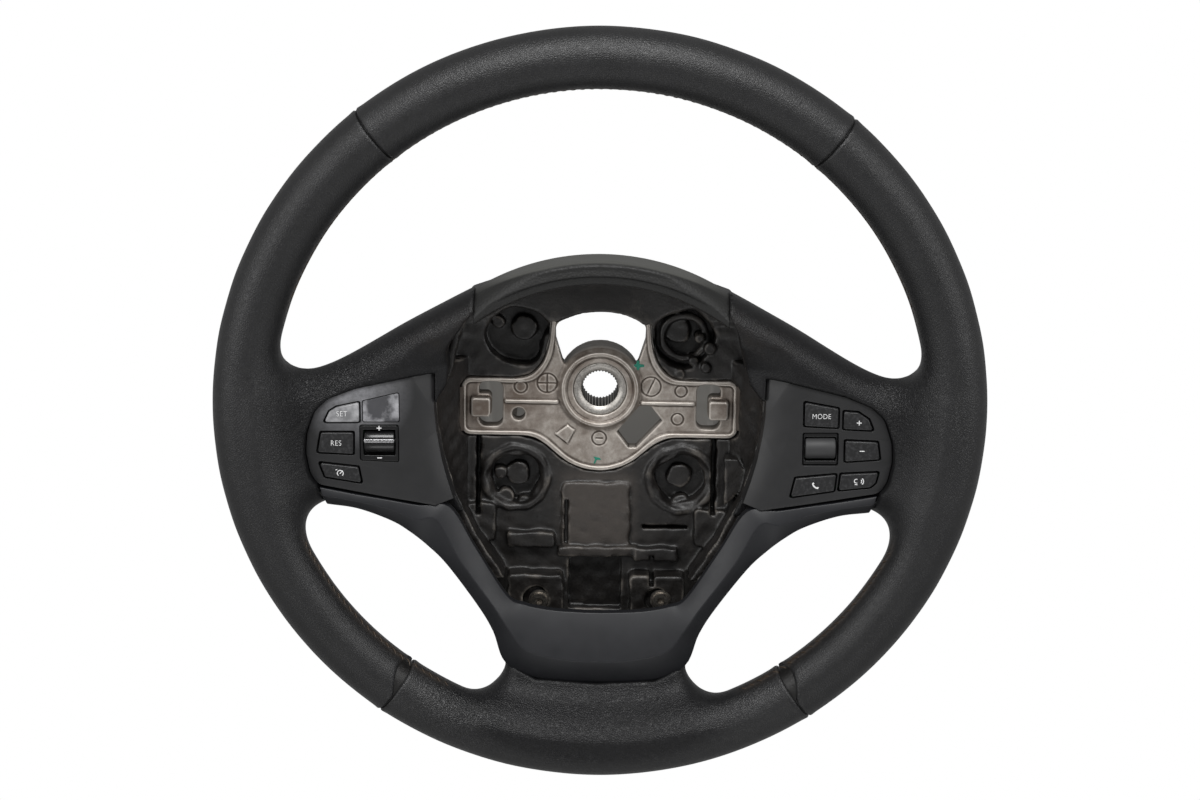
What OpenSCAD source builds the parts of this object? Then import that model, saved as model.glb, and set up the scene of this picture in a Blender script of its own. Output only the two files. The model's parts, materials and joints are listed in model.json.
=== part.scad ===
// Three-spoke car steering wheel without its airbag, in millimetres.
// The wheel stands upright: X right, Z towards twelve o'clock, the driver sits at -Y.
// The origin is the centre of the column bore at the hub's front face.
// Sub-parts are drawn flat (X right, Y up, Z towards the driver) and then stood up.

/* [Rim] */
// Outer diameter of the rim
rim_od = 380; // [370:1:390]
// Diameter of the grip, leather included
grip_d = 30; // [28:0.5:32]
// Thickness of the leather cover
leather_t = 1.2; // [0.9:0.1:1.5]
// Distance from the hub's front face forward to the middle plane of the rim
dish = 44; // [42:0.5:46]
// Width of the metal ring inside the rim
ring_w = 13; // [11:0.5:15]
// Depth of the metal ring inside the rim
ring_d = 12; // [10:0.5:14]
// Opening of the seam groove between two leather pieces
seam_gap = 0.5; // [0.3:0.1:0.8]

/* [Hub casting] */
// Bore for the column shaft
bore_d = 17.7; // [16.5:0.1:18.5]
// Length of the column bore
bore_l = 17; // [14:0.5:20]
// Number of serration grooves in the bore
serrations = 36; // [24:2:40]
// Width of one serration groove
serration_w = 0.3; // [0.2:0.05:0.35]
// Outer diameter of the splined steel bush
bush_d = 27; // [25:0.5:29]
// Outer diameter of the hub boss
boss_d = 41; // [39:0.5:44]
// Height of the boss above the plate
boss_h = 3; // [2:0.5:4]
// Thickness of the hub plate
plate_t = 9; // [7:0.5:11]
// Height of the raised lip along the plate's edge
lip_h = 1.2; // [0.8:0.1:2]
// Width of that lip
lip_w = 2; // [1.5:0.1:3]
// Width across the two latch wings
wings_w = 140; // [136:1:142]

/* [Foam moulding] */
// Thickness of the tub's floor
floor_t = 14; // [13:0.5:17]
// Height of the tub's side walls above the hub face
tub_wall_h = 21; // [19:0.5:22]
// Thickness of the tub's side walls
tub_wall_t = 4; // [3:0.5:5]
// Radial width of the arch over the tub
arch_w = 12.3; // [10:0.1:13]
// Radius of the arch's outer face
arch_r = 115.3; // [114:0.1:117]

/* [Switch pods] */
// Distance of the pod faces behind the middle plane of the rim
pod_drop = 5; // [4:0.5:6]
// Depth of a pod housing
pod_h = 16; // [15:0.5:16]
// Thickness of the pod's faceplate
face_t = 2.2; // [1.8:0.1:2.6]
// Thickness of the pod's side walls
pod_wall = 2; // [1.6:0.1:2.4]
// Clearance all round a key cap
key_gap = 0.35; // [0.3:0.05:0.5]
// Height of a key cap above the face
key_proud = 0.8; // [0.5:0.1:1.2]
// Travel of a key
key_travel = 0.8; // [0.5:0.1:0.8]
// Diameter of the speed rocker's barrel
rocker_d = 12.4; // [12:0.1:12.6]
// Diameter of the menu roller
roller_d = 11; // [10.4:0.1:11.2]
// Diameter of the barrels' trunnions
trunnion_d = 3; // [2.4:0.1:3.4]
// Radial running clearance of a trunnion
running_gap = 0.05; // [0.03:0.01:0.1]
// Thickness of a switch board
board_t = 1.6; // [1.2:0.1:2]

/* [Lower bezel] */
// Wall thickness of the lower bezel
bezel_t = 1.5; // [1.2:0.1:1.6]
// Diameter of a bezel screw's head
screw_head_d = 10.8; // [9.5:0.1:12]
// Diameter of a bezel screw's shank
screw_shank_d = 4; // [3.5:0.1:5]

/* [Rear cover] */
// Wall thickness of the rear cover
cover_t = 2.2; // [1.8:0.1:2.6]
// Depth of the rear cover behind the hub face
cover_depth = 36; // [34:1:40]
// Diameter of the openings for the column and the plug
cover_hole_d = 48; // [46:1:52]

/* [Hidden] */
$fn = 48;
eps = 0.01;
// Gap between pieces that are seated on each other
seat = 0.3;

rim_r = (rim_od - grip_d) / 2;
grip_r = grip_d / 2;
rim_in = rim_r - grip_r;
face_z = dish - pod_drop;

// Seam angles, anticlockwise from three o'clock
seam_tr = 47;
seam_tl = 130.5;
seam_bl = 234.5;
seam_br = 304;

// Stands a sub-part up from the flat drawing frame
module upright() rotate([90, 0, 0]) children();

module both_sides() {
    children();
    mirror([1, 0, 0]) children();
}

// Solid through a list of rings, each ring a list of points with the same count
module loft(rings) {
    n = len(rings[0]);
    m = len(rings);
    points = [for (ring = rings) for (p = ring) p];
    sides = [for (i = [0:m - 2]) for (j = [0:n - 1])
        let (a = i * n + j, b = i * n + (j + 1) % n)
            each [[a, b, b + n], [a, b + n, a + n]]];
    first = [for (j = [n - 1:-1:0]) j];
    last = [for (j = [0:n - 1]) (m - 1) * n + j];
    polyhedron(points = points, faces = concat([first], sides, [last]));
}

// Rounds the convex corners of a flat shape
module rounded(r) offset(r = r, $fn = 20) offset(delta = -r) children();

function sgn_pow(v, e) = sign(v) * pow(abs(v), e);
function on_rim(x) = sqrt(max(rim_in * rim_in - x * x, 0));

// Spoke sections

ring_n = 24;
square_e = 0.62;

// Rounded section across a side spoke at distance x from the middle
function side_ring(x, top, low, front, back, inset) =
    [for (k = [0:ring_n - 1])
        let (a = 360 * k / ring_n,
             c = sgn_pow(cos(a), square_e), s = sgn_pow(sin(a), square_e))
            [x, (top + low) / 2 + ((top - low) / 2 - inset) * c,
             (front + back) / 2 + ((front - back) / 2 - inset) * s]];

// Rounded section across the lower spoke at height y
function low_ring(y, half_w, front, back, inset) =
    [for (k = [0:ring_n - 1])
        let (a = 360 * k / ring_n,
             c = sgn_pow(cos(a), square_e), s = sgn_pow(sin(a), square_e))
            [(half_w - inset) * c, y, (front + back) / 2 + ((front - back) / 2 - inset) * s]];

pod_out = 145;
spoke_front = face_z + 2;
spoke_back = 8;
spoke_top = 21.8;
spoke_low = -48.5;
// Place between the pod's outer edge, 0, and the rim's inner edge, 1
function out_x(f) = pod_out + f * (rim_in - pod_out);

// Right-hand spoke from the rim to the tub
module side_spoke(inset = 0)
    loft([
        side_ring(out_x(1.5), on_rim(out_x(0.5)) + 8, -on_rim(out_x(0.1)), dish + 8, dish - 11, inset),
        side_ring(out_x(1), on_rim(out_x(0.7)) + 4, -on_rim(out_x(0.1)) - 3, dish + 6, dish - 17, inset),
        side_ring(out_x(0.7), on_rim(out_x(0.7)), -on_rim(out_x(0.3)), dish + 3.5, dish - 22, inset),
        side_ring(out_x(0.45), spoke_top + 6.7, -on_rim(out_x(0.47)) + 1, dish + 1.5, dish - 26, inset),
        side_ring(out_x(0.2), spoke_top + 2.2, spoke_low - 5, spoke_front + 2.5, dish - 28.5, inset),
        side_ring(out_x(-0.17), spoke_top, spoke_low - 1.5, spoke_front + 1, dish - 30.5, inset),
        side_ring(132, spoke_top + 2.6, spoke_low, spoke_front + 0.2, spoke_back + 4, inset),
        side_ring(118, spoke_top + 9.7, spoke_low - 1, spoke_front, spoke_back + 2.5, inset),
        side_ring(102, spoke_top + 17.7, spoke_low - 4.5, spoke_front, spoke_back + 1, inset),
        side_ring(83, spoke_top + 26.2, spoke_low - 9.5, spoke_front, spoke_back, inset),
        side_ring(leather_end + inset, spoke_top + 34.2, spoke_low - 11.5, spoke_front, spoke_back, inset)]);

low_end = -134;
// Lower spoke from the rim up to where the bezel covers it
module low_spoke(inset = 0)
    loft([
        low_ring(-rim_r + 5, 78, dish + 7, dish - 9, inset),
        low_ring(-rim_in, 70, dish + 6, dish - 15, inset),
        low_ring(-rim_in + 10, 62, dish + 1, dish - 21, inset),
        low_ring(-rim_in + 14, 55, dish - 3, dish - 23, inset),
        low_ring(-rim_in + 19, 49.5, dish - 5, dish - 25, inset),
        low_ring(low_end + inset, 47, dish - 6, dish - 26, inset)]);

// Sector of the grip between two angles
module grip(r, from, to)
    translate([0, 0, dish]) rotate([0, 0, from])
        rotate_extrude(angle = to - from) translate([rim_r, 0]) circle(r);

// Plan shapes

// Opening of the tub between the pods and above the bezel
cavity_top = 82;
cavity_low = 74;
cavity_pts = [[0, 62], [32, 58], [63, 46], [75, 33], [cavity_top, 14], [cavity_low, -50],
              [63, -73], [45, -98], [36, -103], [20, -106], [0, -106.6]];
module half_plan(pts) both_sides() polygon(pts);
module cavity_plan() half_plan(cavity_pts);

// Pod outline, right-hand side
pod_pts = [[cavity_top, 14.5], [97, 14], [121, 8.2], [134, 3], [140.5, -3], [144.5, -15],
           [pod_out, -25], [143, -35], [139.5, -41], [83, -53.5], [cavity_low, -50]];
module pod_plan(grow = 0)
    offset(delta = grow) {
        rounded(5) polygon(pod_pts);
        intersection() {
            polygon(pod_pts);
            translate([cavity_low - 5, -60]) square([30, 80]);
        }
    }

// Hub plate

wing_x = wings_w / 2;
wing_top = 5;
wing_low = -25;
window_r = 40;
module hub_plan() {
    offset(r = -6, $fn = 24) offset(r = 6, $fn = 24) {
        translate([-wing_x, wing_low]) offset(r = 5, $fn = 24) offset(delta = -5)
            square([wings_w, wing_top - wing_low]);
        translate([0, -13]) circle(30, $fn = 60);
        circle(boss_d / 2 + 3, $fn = 60);
        both_sides() polygon([[10, -10], [34, -6], [28, 16], [25, 56], [15, 56]]);
    }
}

// Opening above the boss, seen through from front to back
module window_plan()
    rounded(3) difference() {
        intersection() {
            circle(window_r, $fn = 60);
            polygon([[-15.5, 12], [15.5, 12], [23, 33], [20, 50], [-20, 50], [-23, 33]]);
        }
        circle(boss_d / 2 + 2.5, $fn = 60);
    }

// Slot behind a latch lug, right-hand side
module latch_slot() {
    rounded(1.2) difference() {
        translate([49, -20.5]) square([12, 23]);
        translate([54.5, -15.5]) square([8, 11.5]);
    }
}
module latch_lug() translate([55, -14.7]) square([10, 10]);

module casting_window()
    rounded(1.5) polygon([[20.5, -9.4], [25.4, -9.4], [31, -16.4], [18.5, -30], [15.2, -30], [9.6, -22.7]]);

screw_x = 31;
screw_y = -109;
screw_seat = 8;
// Eye and leg of the bezel under the screw
eye_t = 1.6;
leg_x = 28;
leg_w = 8;
leg_l = 14;

arm_w = 24;
module side_arm()
    intersection() {
        translate([0, -10, 0]) rotate([90, 0, 0]) linear_extrude(arm_w + 12, center = true)
            polygon([[wing_x - 12, -plate_t], [wing_x + 2, -plate_t], [92, 12.5], [138, dish - 28],
                     [148, dish - 25.5], [rim_in + 3, dish - 10], [rim_r, dish - 5], [rim_r, dish + 4],
                     [rim_in + 1, dish], [147, dish - 21], [140, face_z - pod_h - 1.5], [91, 19],
                     [wing_x - 3, 0], [wing_x - 12, 0]]);
        linear_extrude(3 * dish, center = true)
            polygon([[wing_x - 12, -10 - arm_w / 2], [100, -10 - arm_w / 2 + 2], [140, -10 - arm_w / 2 + 2],
                     [rim_r, -10 - arm_w / 2 - 6], [rim_r, -10 + arm_w / 2 + 6],
                     [140, -10 + arm_w / 2 - 2], [100, -10 + arm_w / 2 - 2], [wing_x - 12, -10 + arm_w / 2]]);
    }

module low_arm()
    intersection() {
        rotate([90, 0, 90]) linear_extrude(100)
            polygon([[-28, -plate_t], [-102, -11.5], [-124, 17], [low_end, dish - 21.5],
                     [low_end - 7, dish - 20], [-rim_in + 10, dish - 15.5], [-rim_in - 6, dish - 6],
                     [-rim_r, dish - 5], [-rim_r, dish + 5], [-rim_in - 3, dish + 3], [-rim_in + 10, dish - 9],
                     [low_end - 6, dish - 14], [-120, dish - 17], [-99, -4], [-28, -2]]);
        linear_extrude(3 * dish, center = true)
            polygon([[8, -28], [21, -60], [15, -105], [15, -124], [28, -140], [42, -rim_r], [62, -rim_r + 8],
                     [41, -140], [25, -124], [25, -105], [35, -60], [24, -28]]);
    }

module metal_ring()
    translate([0, 0, dish]) rotate_extrude($fn = 96) translate([rim_r, 0])
        polygon([[-ring_w / 2, ring_d / 2], [ring_w / 2, ring_d / 2], [ring_w / 2, -ring_d / 2],
                 [ring_w / 2 - 3.5, -ring_d / 2], [ring_w / 2 - 4, ring_d / 2 - 4],
                 [-ring_w / 2 + 4, ring_d / 2 - 4], [-ring_w / 2 + 3.5, -ring_d / 2],
                 [-ring_w / 2, -ring_d / 2]]);

// Outer shape of the casting, which the foam is moulded round
module armature_body() {
    difference() {
        union() {
            translate([0, 0, -plate_t]) linear_extrude(plate_t) hub_plan();
            translate([0, 0, -bore_l - 2]) cylinder(h = bore_l + 2, d = boss_d);
        }
        translate([0, 0, -2 * plate_t]) linear_extrude(3 * plate_t) window_plan();
    }
    both_sides() {
        side_arm();
        low_arm();
        translate([screw_x, screw_y, -9]) cylinder(h = screw_seat + 9, d = 10);
        translate([screw_x - 11, screw_y - 4, -9]) cube([11, 8, 9]);
    }
    metal_ring();
}

bush_top = 0.6;
bush_gap = 0.05;
// Bush that is cast into the hub and takes the serrated column
module hub_bush() color("#7d7b78") upright()
    difference() {
        translate([0, 0, -bore_l]) cylinder(h = bore_l + bush_top, d = bush_d);
        translate([0, 0, -bore_l - 1]) cylinder(h = bore_l + 2, d = bore_d);
        cylinder(h = bush_top + eps, d1 = bore_d + 1, d2 = bush_d - 4);
        for (i = [0:serrations - 1]) rotate([0, 0, i * 360 / serrations])
            translate([bore_d / 2 - 0.3, -serration_w / 2, -bore_l - 1])
                cube([0.3 + 0.55, serration_w, bore_l + 1]);
    }

// Seat of the bush, flared at the front
module bush_seat() {
    translate([0, 0, -bore_l - 3]) cylinder(h = bore_l + 4, d = bush_d + 2 * bush_gap);
    translate([0, 0, bush_top]) cylinder(h = boss_h - bush_top + eps, d1 = bush_d, d2 = bush_d + 2);
}

module armature() color("#b5aca3") upright()
    difference() {
        union() {
            armature_body();
            difference() {
                linear_extrude(lip_h) difference() {
                    hub_plan();
                    offset(delta = -lip_w) hub_plan();
                }
                translate([0, 0, -1]) linear_extrude(lip_h + 2) window_plan();
                translate([-40, 34, -1]) cube([80, 40, lip_h + 2]);
            }
            // Stepped boss with a bevelled foot
            cylinder(h = boss_h, d1 = boss_d, d2 = boss_d - 5);
            both_sides() {
                translate([0, 0, -eps]) linear_extrude(4.5) latch_lug();
                translate([boss_d / 2 - 2, -8, -eps]) cube([48 - boss_d / 2 + 2, 2.4, 1.1]);
            }
            translate([-17.5, -23.5, -eps]) rotate([0, 0, 38]) cube([8.5, 8.5, 1]);
        }
        bush_seat();
        translate([0, 0, -plate_t - 1]) linear_extrude(plate_t + 3) {
            both_sides() latch_slot();
            casting_window();
            translate([-41, -14]) circle(3.2);
        }
        both_sides() translate([screw_x, screw_y, -10]) cylinder(h = 40, d = screw_shank_d);
        cover_screw_holes();
    }

// Cover screws

cover_screw_pts = [[44, -18.5], [-44, -18.5], [28, -60], [-28, -60]];
cover_screw_d = 3;
// The upper pillars stand under the plate, the lower ones under the foam
function pillar_top(p) = p[1] > -30 ? -plate_t - seat : -floor_t - seat;
module cover_screw_holes()
    for (p = cover_screw_pts) translate([p[0], p[1], -20]) cylinder(h = 17, d = cover_screw_d);

// Foam

module tub_block()
    difference() {
        translate([0, 0, -floor_t]) linear_extrude(floor_t + tub_wall_h)
            offset(delta = tub_wall_t) cavity_plan();
        linear_extrude(2 * dish) cavity_plan();
    }

arch_top = 74.3;
arch_back = 12;
leather_end = 63;
// Grained band over the tub between the two leather pieces
module arch()
    intersection() {
        translate([0, arch_top - arch_r, 0]) rotate([0, 0, 90 - 37])
            rotate_extrude(angle = 74) translate([arch_r, 0])
                polygon([[-arch_w, arch_back], [-2, arch_back], [0, arch_back + 8],
                         [0, spoke_front - 3], [-2, spoke_front - 1], [-arch_w / 2, spoke_front], [-arch_w / 2 - 1, spoke_front - 1.2],
                         [-arch_w + 1, spoke_front - 1.8], [-arch_w, spoke_front - 4]]);
        cube([2 * leather_end - 0.4, 300, 4 * dish], center = true);
    }

// Floor, with its pockets, discs, blocks and slots
module tub_floor_cuts() {
    for (s = [-1, 1]) {
        translate([42 * s, 27, -8]) cylinder(h = 20, r = 15);
        translate([42 * s, -47, -7]) cylinder(h = 20, r = 13);
        translate([60 * s - 1.3, -65, -10]) cube([2.6, 39, 20]);
    }
    translate([23, -73.6, -9]) cube([23, 2, 20]);
    translate([26.6, -101, -9]) cube([2.6, 14, 30]);
    translate([-14, -118, -5]) cube([28, 35, 20]);
}
module tub_floor_adds() {
    for (s = [-1, 1]) {
        translate([38.5 * s, 30, -9]) cylinder(h = 5, r = 6.4);
        translate([41 * s, -46, -8]) cylinder(h = 5, r = 6);
        translate([s > 0 ? 17 : -45, -116, -eps]) cube([28, 20, 11]);
    }
    translate([-18, -83, -eps]) cube([34, 35, 2.5]);
    translate([-46, -84, -eps]) cube([24, 8, 5]);
    // Skin over the casting's struts above the window
    translate([0, 0, -eps]) linear_extrude(1.6)
        polygon([[-27, 34], [27, 34], [25, 62], [-25, 62]]);
}

module foam_core() color("#2a2725") upright()
    difference() {
        union() {
            difference() {
                union() {
                    tub_block();
                    both_sides() side_spoke(leather_t + 0.1);
                }
                linear_extrude(2 * dish) cavity_plan();
                both_sides() translate([0, 0, face_z - pod_h - seat]) linear_extrude(dish) pod_plan(0.3);
                bezel_room();
            }
            difference() {
                low_spoke(leather_t + 0.1);
                bezel_step();
            }
            intersection() {
                tub_floor_adds();
                translate([0, 0, -1]) linear_extrude(40) cavity_plan();
            }
            translate([-36, low_end - 2, dish - 22.5]) cube([72, 30, 6]);
            arch();
            grip(grip_r - leather_t - 0.1, 0, 360);
        }
        armature_body();
        tub_floor_cuts();
        // The plate is left bare: the foam ends at its edge
        translate([0, 0, -floor_t - 1]) linear_extrude(40) offset(delta = 0.4) hub_plan_low();
        translate([0, 0, -50]) linear_extrude(100) window_plan();
        both_sides() bezel_leg_room();
        cover_screw_holes();
    }

// The visible part of the plate, without the struts above the window
module hub_plan_low()
    intersection() {
        hub_plan();
        translate([-100, -60]) square([200, 94]);
    }

// Room that the bezel takes from the foam
bezel_back = dish - 22;
bezel_step_z = dish - 16;
module bezel_room()
    translate([0, 0, bezel_back - seat]) linear_extrude(dish) half_plan(
        [[0, -90], [58, -62], [72, -50], [84, -50], [139, -37], [139, -60], [100, -70], [60, -125],
         [45, low_end], [0, low_end]]);

// Place of the bezel over the lower spoke
module bezel_step()
    translate([0, 0, bezel_step_z - seat]) linear_extrude(dish) offset(delta = seat)
        half_plan(concat([[0, -60]], [for (p = bezel_pts) p[2]]));

// Room for the bezel's leg, its eye and the screw head
module bezel_leg_room() {
    translate([screw_x, screw_y, screw_seat]) cylinder(h = 30, d = screw_head_d + 2);
    translate([leg_x - seat, screw_y - leg_l - seat, screw_seat])
        cube([leg_w + 2 * seat, leg_l + 2 * seat, dish]);
}

// Leather

leather_colour = "#262627";
half_seam = seam_gap / 2 / rim_r * 180 / PI;

module leather_top() color(leather_colour) upright()
    difference() {
        grip(grip_r, seam_tr + half_seam, seam_tl - half_seam);
        grip(grip_r - leather_t, seam_tr - 1, seam_tl + 1);
    }

module leather_spoke_trim() {
    linear_extrude(3 * dish, center = true) cavity_plan();
    translate([0, 0, -floor_t]) linear_extrude(floor_t + tub_wall_h + seat)
        offset(delta = tub_wall_t + 0.1) cavity_plan();
    translate([0, 0, face_z - pod_h - seat]) linear_extrude(dish) pod_plan(0.25);
    bezel_room();
    // The casting's arm comes in through the back
    translate([0, -11 - arm_w / 2, -floor_t]) cube([93, arm_w + 2, floor_t + 13]);
}

module leather_side(from, to) upright()
    difference() {
        union() {
            grip(grip_r, from, to);
            difference() {
                side_spoke();
                leather_spoke_trim();
            }
        }
        grip(grip_r - leather_t, from - 1, to + 1);
        side_spoke(leather_t);
    }

module leather_right() color(leather_colour) leather_side(seam_br - 360 + half_seam, seam_tr - half_seam);
module leather_left() color(leather_colour) mirror([1, 0, 0])
    leather_side(180 - seam_bl + half_seam, 180 - seam_tl - half_seam);

module leather_bottom() color(leather_colour) upright()
    difference() {
        union() {
            grip(grip_r, seam_bl + half_seam, seam_br - half_seam);
            low_spoke();
        }
        grip(grip_r - leather_t, seam_bl - 1, seam_br + 1);
        low_spoke(leather_t);
        bezel_step();
    }

// Lower bezel

// Stations from the tip under the pod round to the middle: inner edge, crease, outer edge
bezel_pts = [[[138.5, -42.3], [137.5, -45.2], [136, -48.8]],
             [[120, -45.4], [120, -47.4], [119, -50]],
             [[100, -50], [100, -51.8], [99, -54.2]],
             [[85, -54], [86, -57], [87.5, -61]],
             [[76, -53.2], [78.5, -58.5], [79.8, -66]],
             [[63, -73.4], [67.5, -75], [71, -77.5]],
             [[45.2, -98.4], [50.5, -102.5], [55.2, -104]],
             [[36, -103.4], [44, -114], [49.5, -117]],
             [[24, -105.9], [34.6, -125], [45.5, -134]],
             [[12, -106.8], [14, -129.8], [30, -142]],
             [[0, -107.1], [0, -130.2], [0, -143.8]]];
bezel_low_z = dish - 13;
crease_z = [-4, -4, -4, -3.6, -3.2, -2.6, -1.6, -1, 0, 0, 0];
inner_z = [-5, -5, -5, -5.5, -7, -8, -8, -8, -8, -8, -8];
outer_z = -7;
back_z = [-22, -22, -22, -22, -22, -22, -22, -22, -16, -12, -12];

function bezel_section(i, flip) =
    let (p = bezel_pts[i], n = (p[2] - p[0]) / norm(p[2] - p[0]),
         zi = dish + inner_z[i], zk = dish + crease_z[i], zo = dish + outer_z, zb = dish + back_z[i],
         at = function (q, z) [flip * q[0], q[1], z])
    [at(p[0], bezel_low_z), at(p[0], zi), at(p[1], zk), at(p[2], zo), at(p[2], zb),
     at(p[2] - bezel_t * n, zb), at(p[2] - bezel_t * n, zo - bezel_t),
     at(p[1], zk - 1.3 * bezel_t), at(p[0] + bezel_t * n, zi - bezel_t), at(p[0] + bezel_t * n, bezel_low_z)];

bezel_count = len(bezel_pts);
module lower_bezel() color("#2e2f34") upright() {
    loft(concat([for (i = [0:bezel_count - 1]) bezel_section(i, 1)],
                [for (i = [bezel_count - 2:-1:0]) bezel_section(i, -1)]));
    both_sides() bezel_leg();
}

// Leg and eye that the bezel screw clamps to the casting
module bezel_leg()
    difference() {
        union() {
            translate([screw_x, screw_y, screw_seat]) cylinder(h = eye_t, d = screw_head_d);
            translate([leg_x, screw_y - leg_l, screw_seat]) cube([leg_w, leg_l, eye_t]);
            translate([leg_x, screw_y - leg_l, screw_seat]) cube([leg_w, 1.8, dish - 1.5 - screw_seat]);
        }
        translate([screw_x, screw_y, 0]) cylinder(h = 30, d = screw_shank_d + 0.6);
    }

screw_colour = "#8d8a86";
module bezel_screw() upright()
    difference() {
        union() {
            translate([screw_x, screw_y, screw_seat + eye_t]) {
                cylinder(h = 1.2, d = screw_head_d);
                cylinder(h = 3, d1 = screw_head_d - 1.5, d2 = screw_head_d - 3);
            }
            translate([screw_x, screw_y, -3]) cylinder(h = screw_seat + 5, d = screw_shank_d - 0.1);
        }
        translate([screw_x, screw_y, screw_seat + eye_t + 0.8]) cylinder(h = 5, r = 2, $fn = 6);
    }
module bezel_screw_right() color(screw_colour) bezel_screw();
module bezel_screw_left() color(screw_colour) mirror([1, 0, 0]) bezel_screw();

// Rear cover

cover_top_z = dish - 22 - seat;
cover_tail = [[0, -90], [52, -102], [55, -104], [49, -118], [45, low_end + 0.4], [0, low_end + 0.4]];
// Plan of the cover: round the tub, with a tail under the lower spoke
module cover_plan() {
    offset(delta = tub_wall_t + seat + cover_t) cavity_plan();
    half_plan(cover_tail);
}
// Deeper middle of the cover, round the column
module cover_deep_plan()
    offset(r = 12, $fn = 32)
        polygon([[-50, 30], [50, 30], [44, -52], [20, -70], [-20, -70], [-44, -52]]);
cover_step_z = -floor_t - 1 - cover_t;
module cover_body(inset = 0) {
    translate([0, 0, cover_step_z + inset]) linear_extrude(cover_top_z - cover_step_z)
        offset(delta = -inset) cover_plan();
    translate([0, 0, -cover_depth + inset]) linear_extrude(cover_depth)
        offset(delta = -inset) cover_deep_plan();
}

module rear_cover() color("#303033") upright()
    difference() {
        union() {
            difference() {
                cover_body();
                cover_body(cover_t);
            }
            for (p = cover_screw_pts) translate([p[0], p[1], -cover_depth + 0.5])
                difference() {
                    cylinder(h = cover_depth + pillar_top(p) - 0.5, d = 8);
                    translate([0, 0, -1]) cylinder(h = cover_depth, d = cover_screw_d + 0.4);
                }
        }
        // Room for the spokes and the arch
        translate([-42, low_end - 1, dish - 27]) cube([84, 12, 20]);
        both_sides() {
            translate([58, -60, spoke_back - seat]) cube([60, 130, 60]);
            translate([58, -11 - arm_w / 2, -plate_t - 1]) cube([60, arm_w + 2, 60]);
        }
        translate([-60, 40, arch_back - seat]) cube([120, 40, 30]);
        for (p = cover_screw_pts)
            translate([p[0], p[1], -cover_depth - 1]) cylinder(h = 9, d = cover_screw_d + 0.4);
        // Openings for the column and for the plug above it
        translate([0, 0, -cover_depth - 1]) {
            cylinder(h = 20, d = cover_hole_d);
            translate([0, 26, 0]) cylinder(h = 20, d = cover_hole_d);
            translate([-cover_hole_d / 2, 0, 0]) cube([cover_hole_d, 26, 20]);
        }
    }

module rear_cover_screws() color(screw_colour) upright()
    for (p = cover_screw_pts) translate([p[0], p[1], 0]) {
        translate([0, 0, -cover_depth - 1.5]) cylinder(h = 1.5, d = 6);
        translate([0, 0, -cover_depth - 1]) cylinder(h = cover_depth - 4, d = cover_screw_d - 0.1);
    }

// Pods

post_d = 4;
board_z = face_z - 10.4;
mat_t = 1;
dome_h = 1.9;
dome_top = board_z + mat_t + dome_h;
stem_gap = key_travel + 0.1;
flange_t = 1.4;
flange_gap = 0.15;
flange_z = face_z - face_t - flange_gap - flange_t;
left_posts = [[90, 6], [87, -28], [108, -41]];
right_posts = [[89, 6], [86, -28], [129, -29.9]];
barrel_z = face_z - 3.75;
barrel_half = 7.5;
cheek_t = 1.6;
cheek_gap = 0.3;

// Outlines of the keys, right-hand side; those of the left pod are mirrored
set_pts = [[118.2, -7], [118.2, 4.1], [130, 1.6], [133.8, -0.8], [136.8, -7]];
blank_pts = [[99, -6.6], [99, 8.4], [117, 4.2], [117, -6.6]];
resume_pts = [[121.5, -23.4], [121.2, -11.3], [138.2, -11.3], [140.2, -22.4]];
cruise_pts = [[119.3, -29.2], [139.6, -26.8], [136.6, -35], [117.6, -38.3]];
surround_pts = [[99.6, -8.2], [118.5, -8.2], [118.5, -26], [99.6, -27]];
mode_pts = [[100.4, -9], [100.4, 4.1], [118, 0.7], [118, -10]];
volume_up_pts = [[119.7, -10.6], [119.7, -0.6], [127.5, -1.2], [133, -5], [135.6, -11.4]];
volume_down_pts = [[120.7, -15.6], [137.6, -16.4], [139, -26.2], [120.7, -27.4]];
phone_pts = [[94, -45.8], [96.5, -35], [117.6, -33], [116.6, -42.4]];
voice_pts = [[118.9, -32.9], [138.6, -32], [137, -38.2], [134.3, -40.6], [117.8, -42.3]];
left_keys = [set_pts, resume_pts, cruise_pts];
right_keys = [mode_pts, volume_up_pts, volume_down_pts, phone_pts, voice_pts];
barrel_x = 109;
rocker_y = -17;
roller_y = -20.6;
cradle_w = 17;
cradle_h = 16.2;

function middle(pts) = [for (k = [0, 1]) (max([for (p = pts) p[k]]) + min([for (p = pts) p[k]])) / 2];

module key_plan(pts, grow = 0) offset(delta = grow) rounded(0.8) polygon(pts);
module cradle_plan(grow = 0)
    translate([barrel_x - cradle_w / 2 - grow, roller_y - cradle_h / 2 - grow])
        square([cradle_w + 2 * grow, cradle_h + 2 * grow]);

// Pod shell before its apertures are cut; the strip beside the tub falls back
module pod_shell(posts)
    difference() {
        union() {
            difference() {
                translate([0, 0, face_z - pod_h]) linear_extrude(pod_h) pod_plan();
                translate([0, 0, face_z - pod_h - 1]) linear_extrude(pod_h - face_t + 1) pod_plan(-pod_wall);
            }
            for (p = posts)
                translate([p[0], p[1], board_z]) cylinder(h = face_z - face_t - board_z + 0.1, d = post_d);
            intersection() {
                translate([0, 0, face_z - pod_h]) linear_extrude(pod_h) pod_plan();
                translate([93.3, 14.9, face_z - 3]) rotate([0, 0, -8.5]) translate([-30, -90, -face_t - 3])
                    cube([30.5, 120, face_t + 2.9]);
            }
        }
        translate([93.3, 14.9, face_z]) rotate([0, 0, -8.5]) rotate([0, -26, 0])
            translate([-40, -90, 0]) cube([40, 120, 20]);
        for (p = posts) translate([p[0], p[1], board_z - 1]) cylinder(h = 7, d = 1.9);
    }

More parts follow.
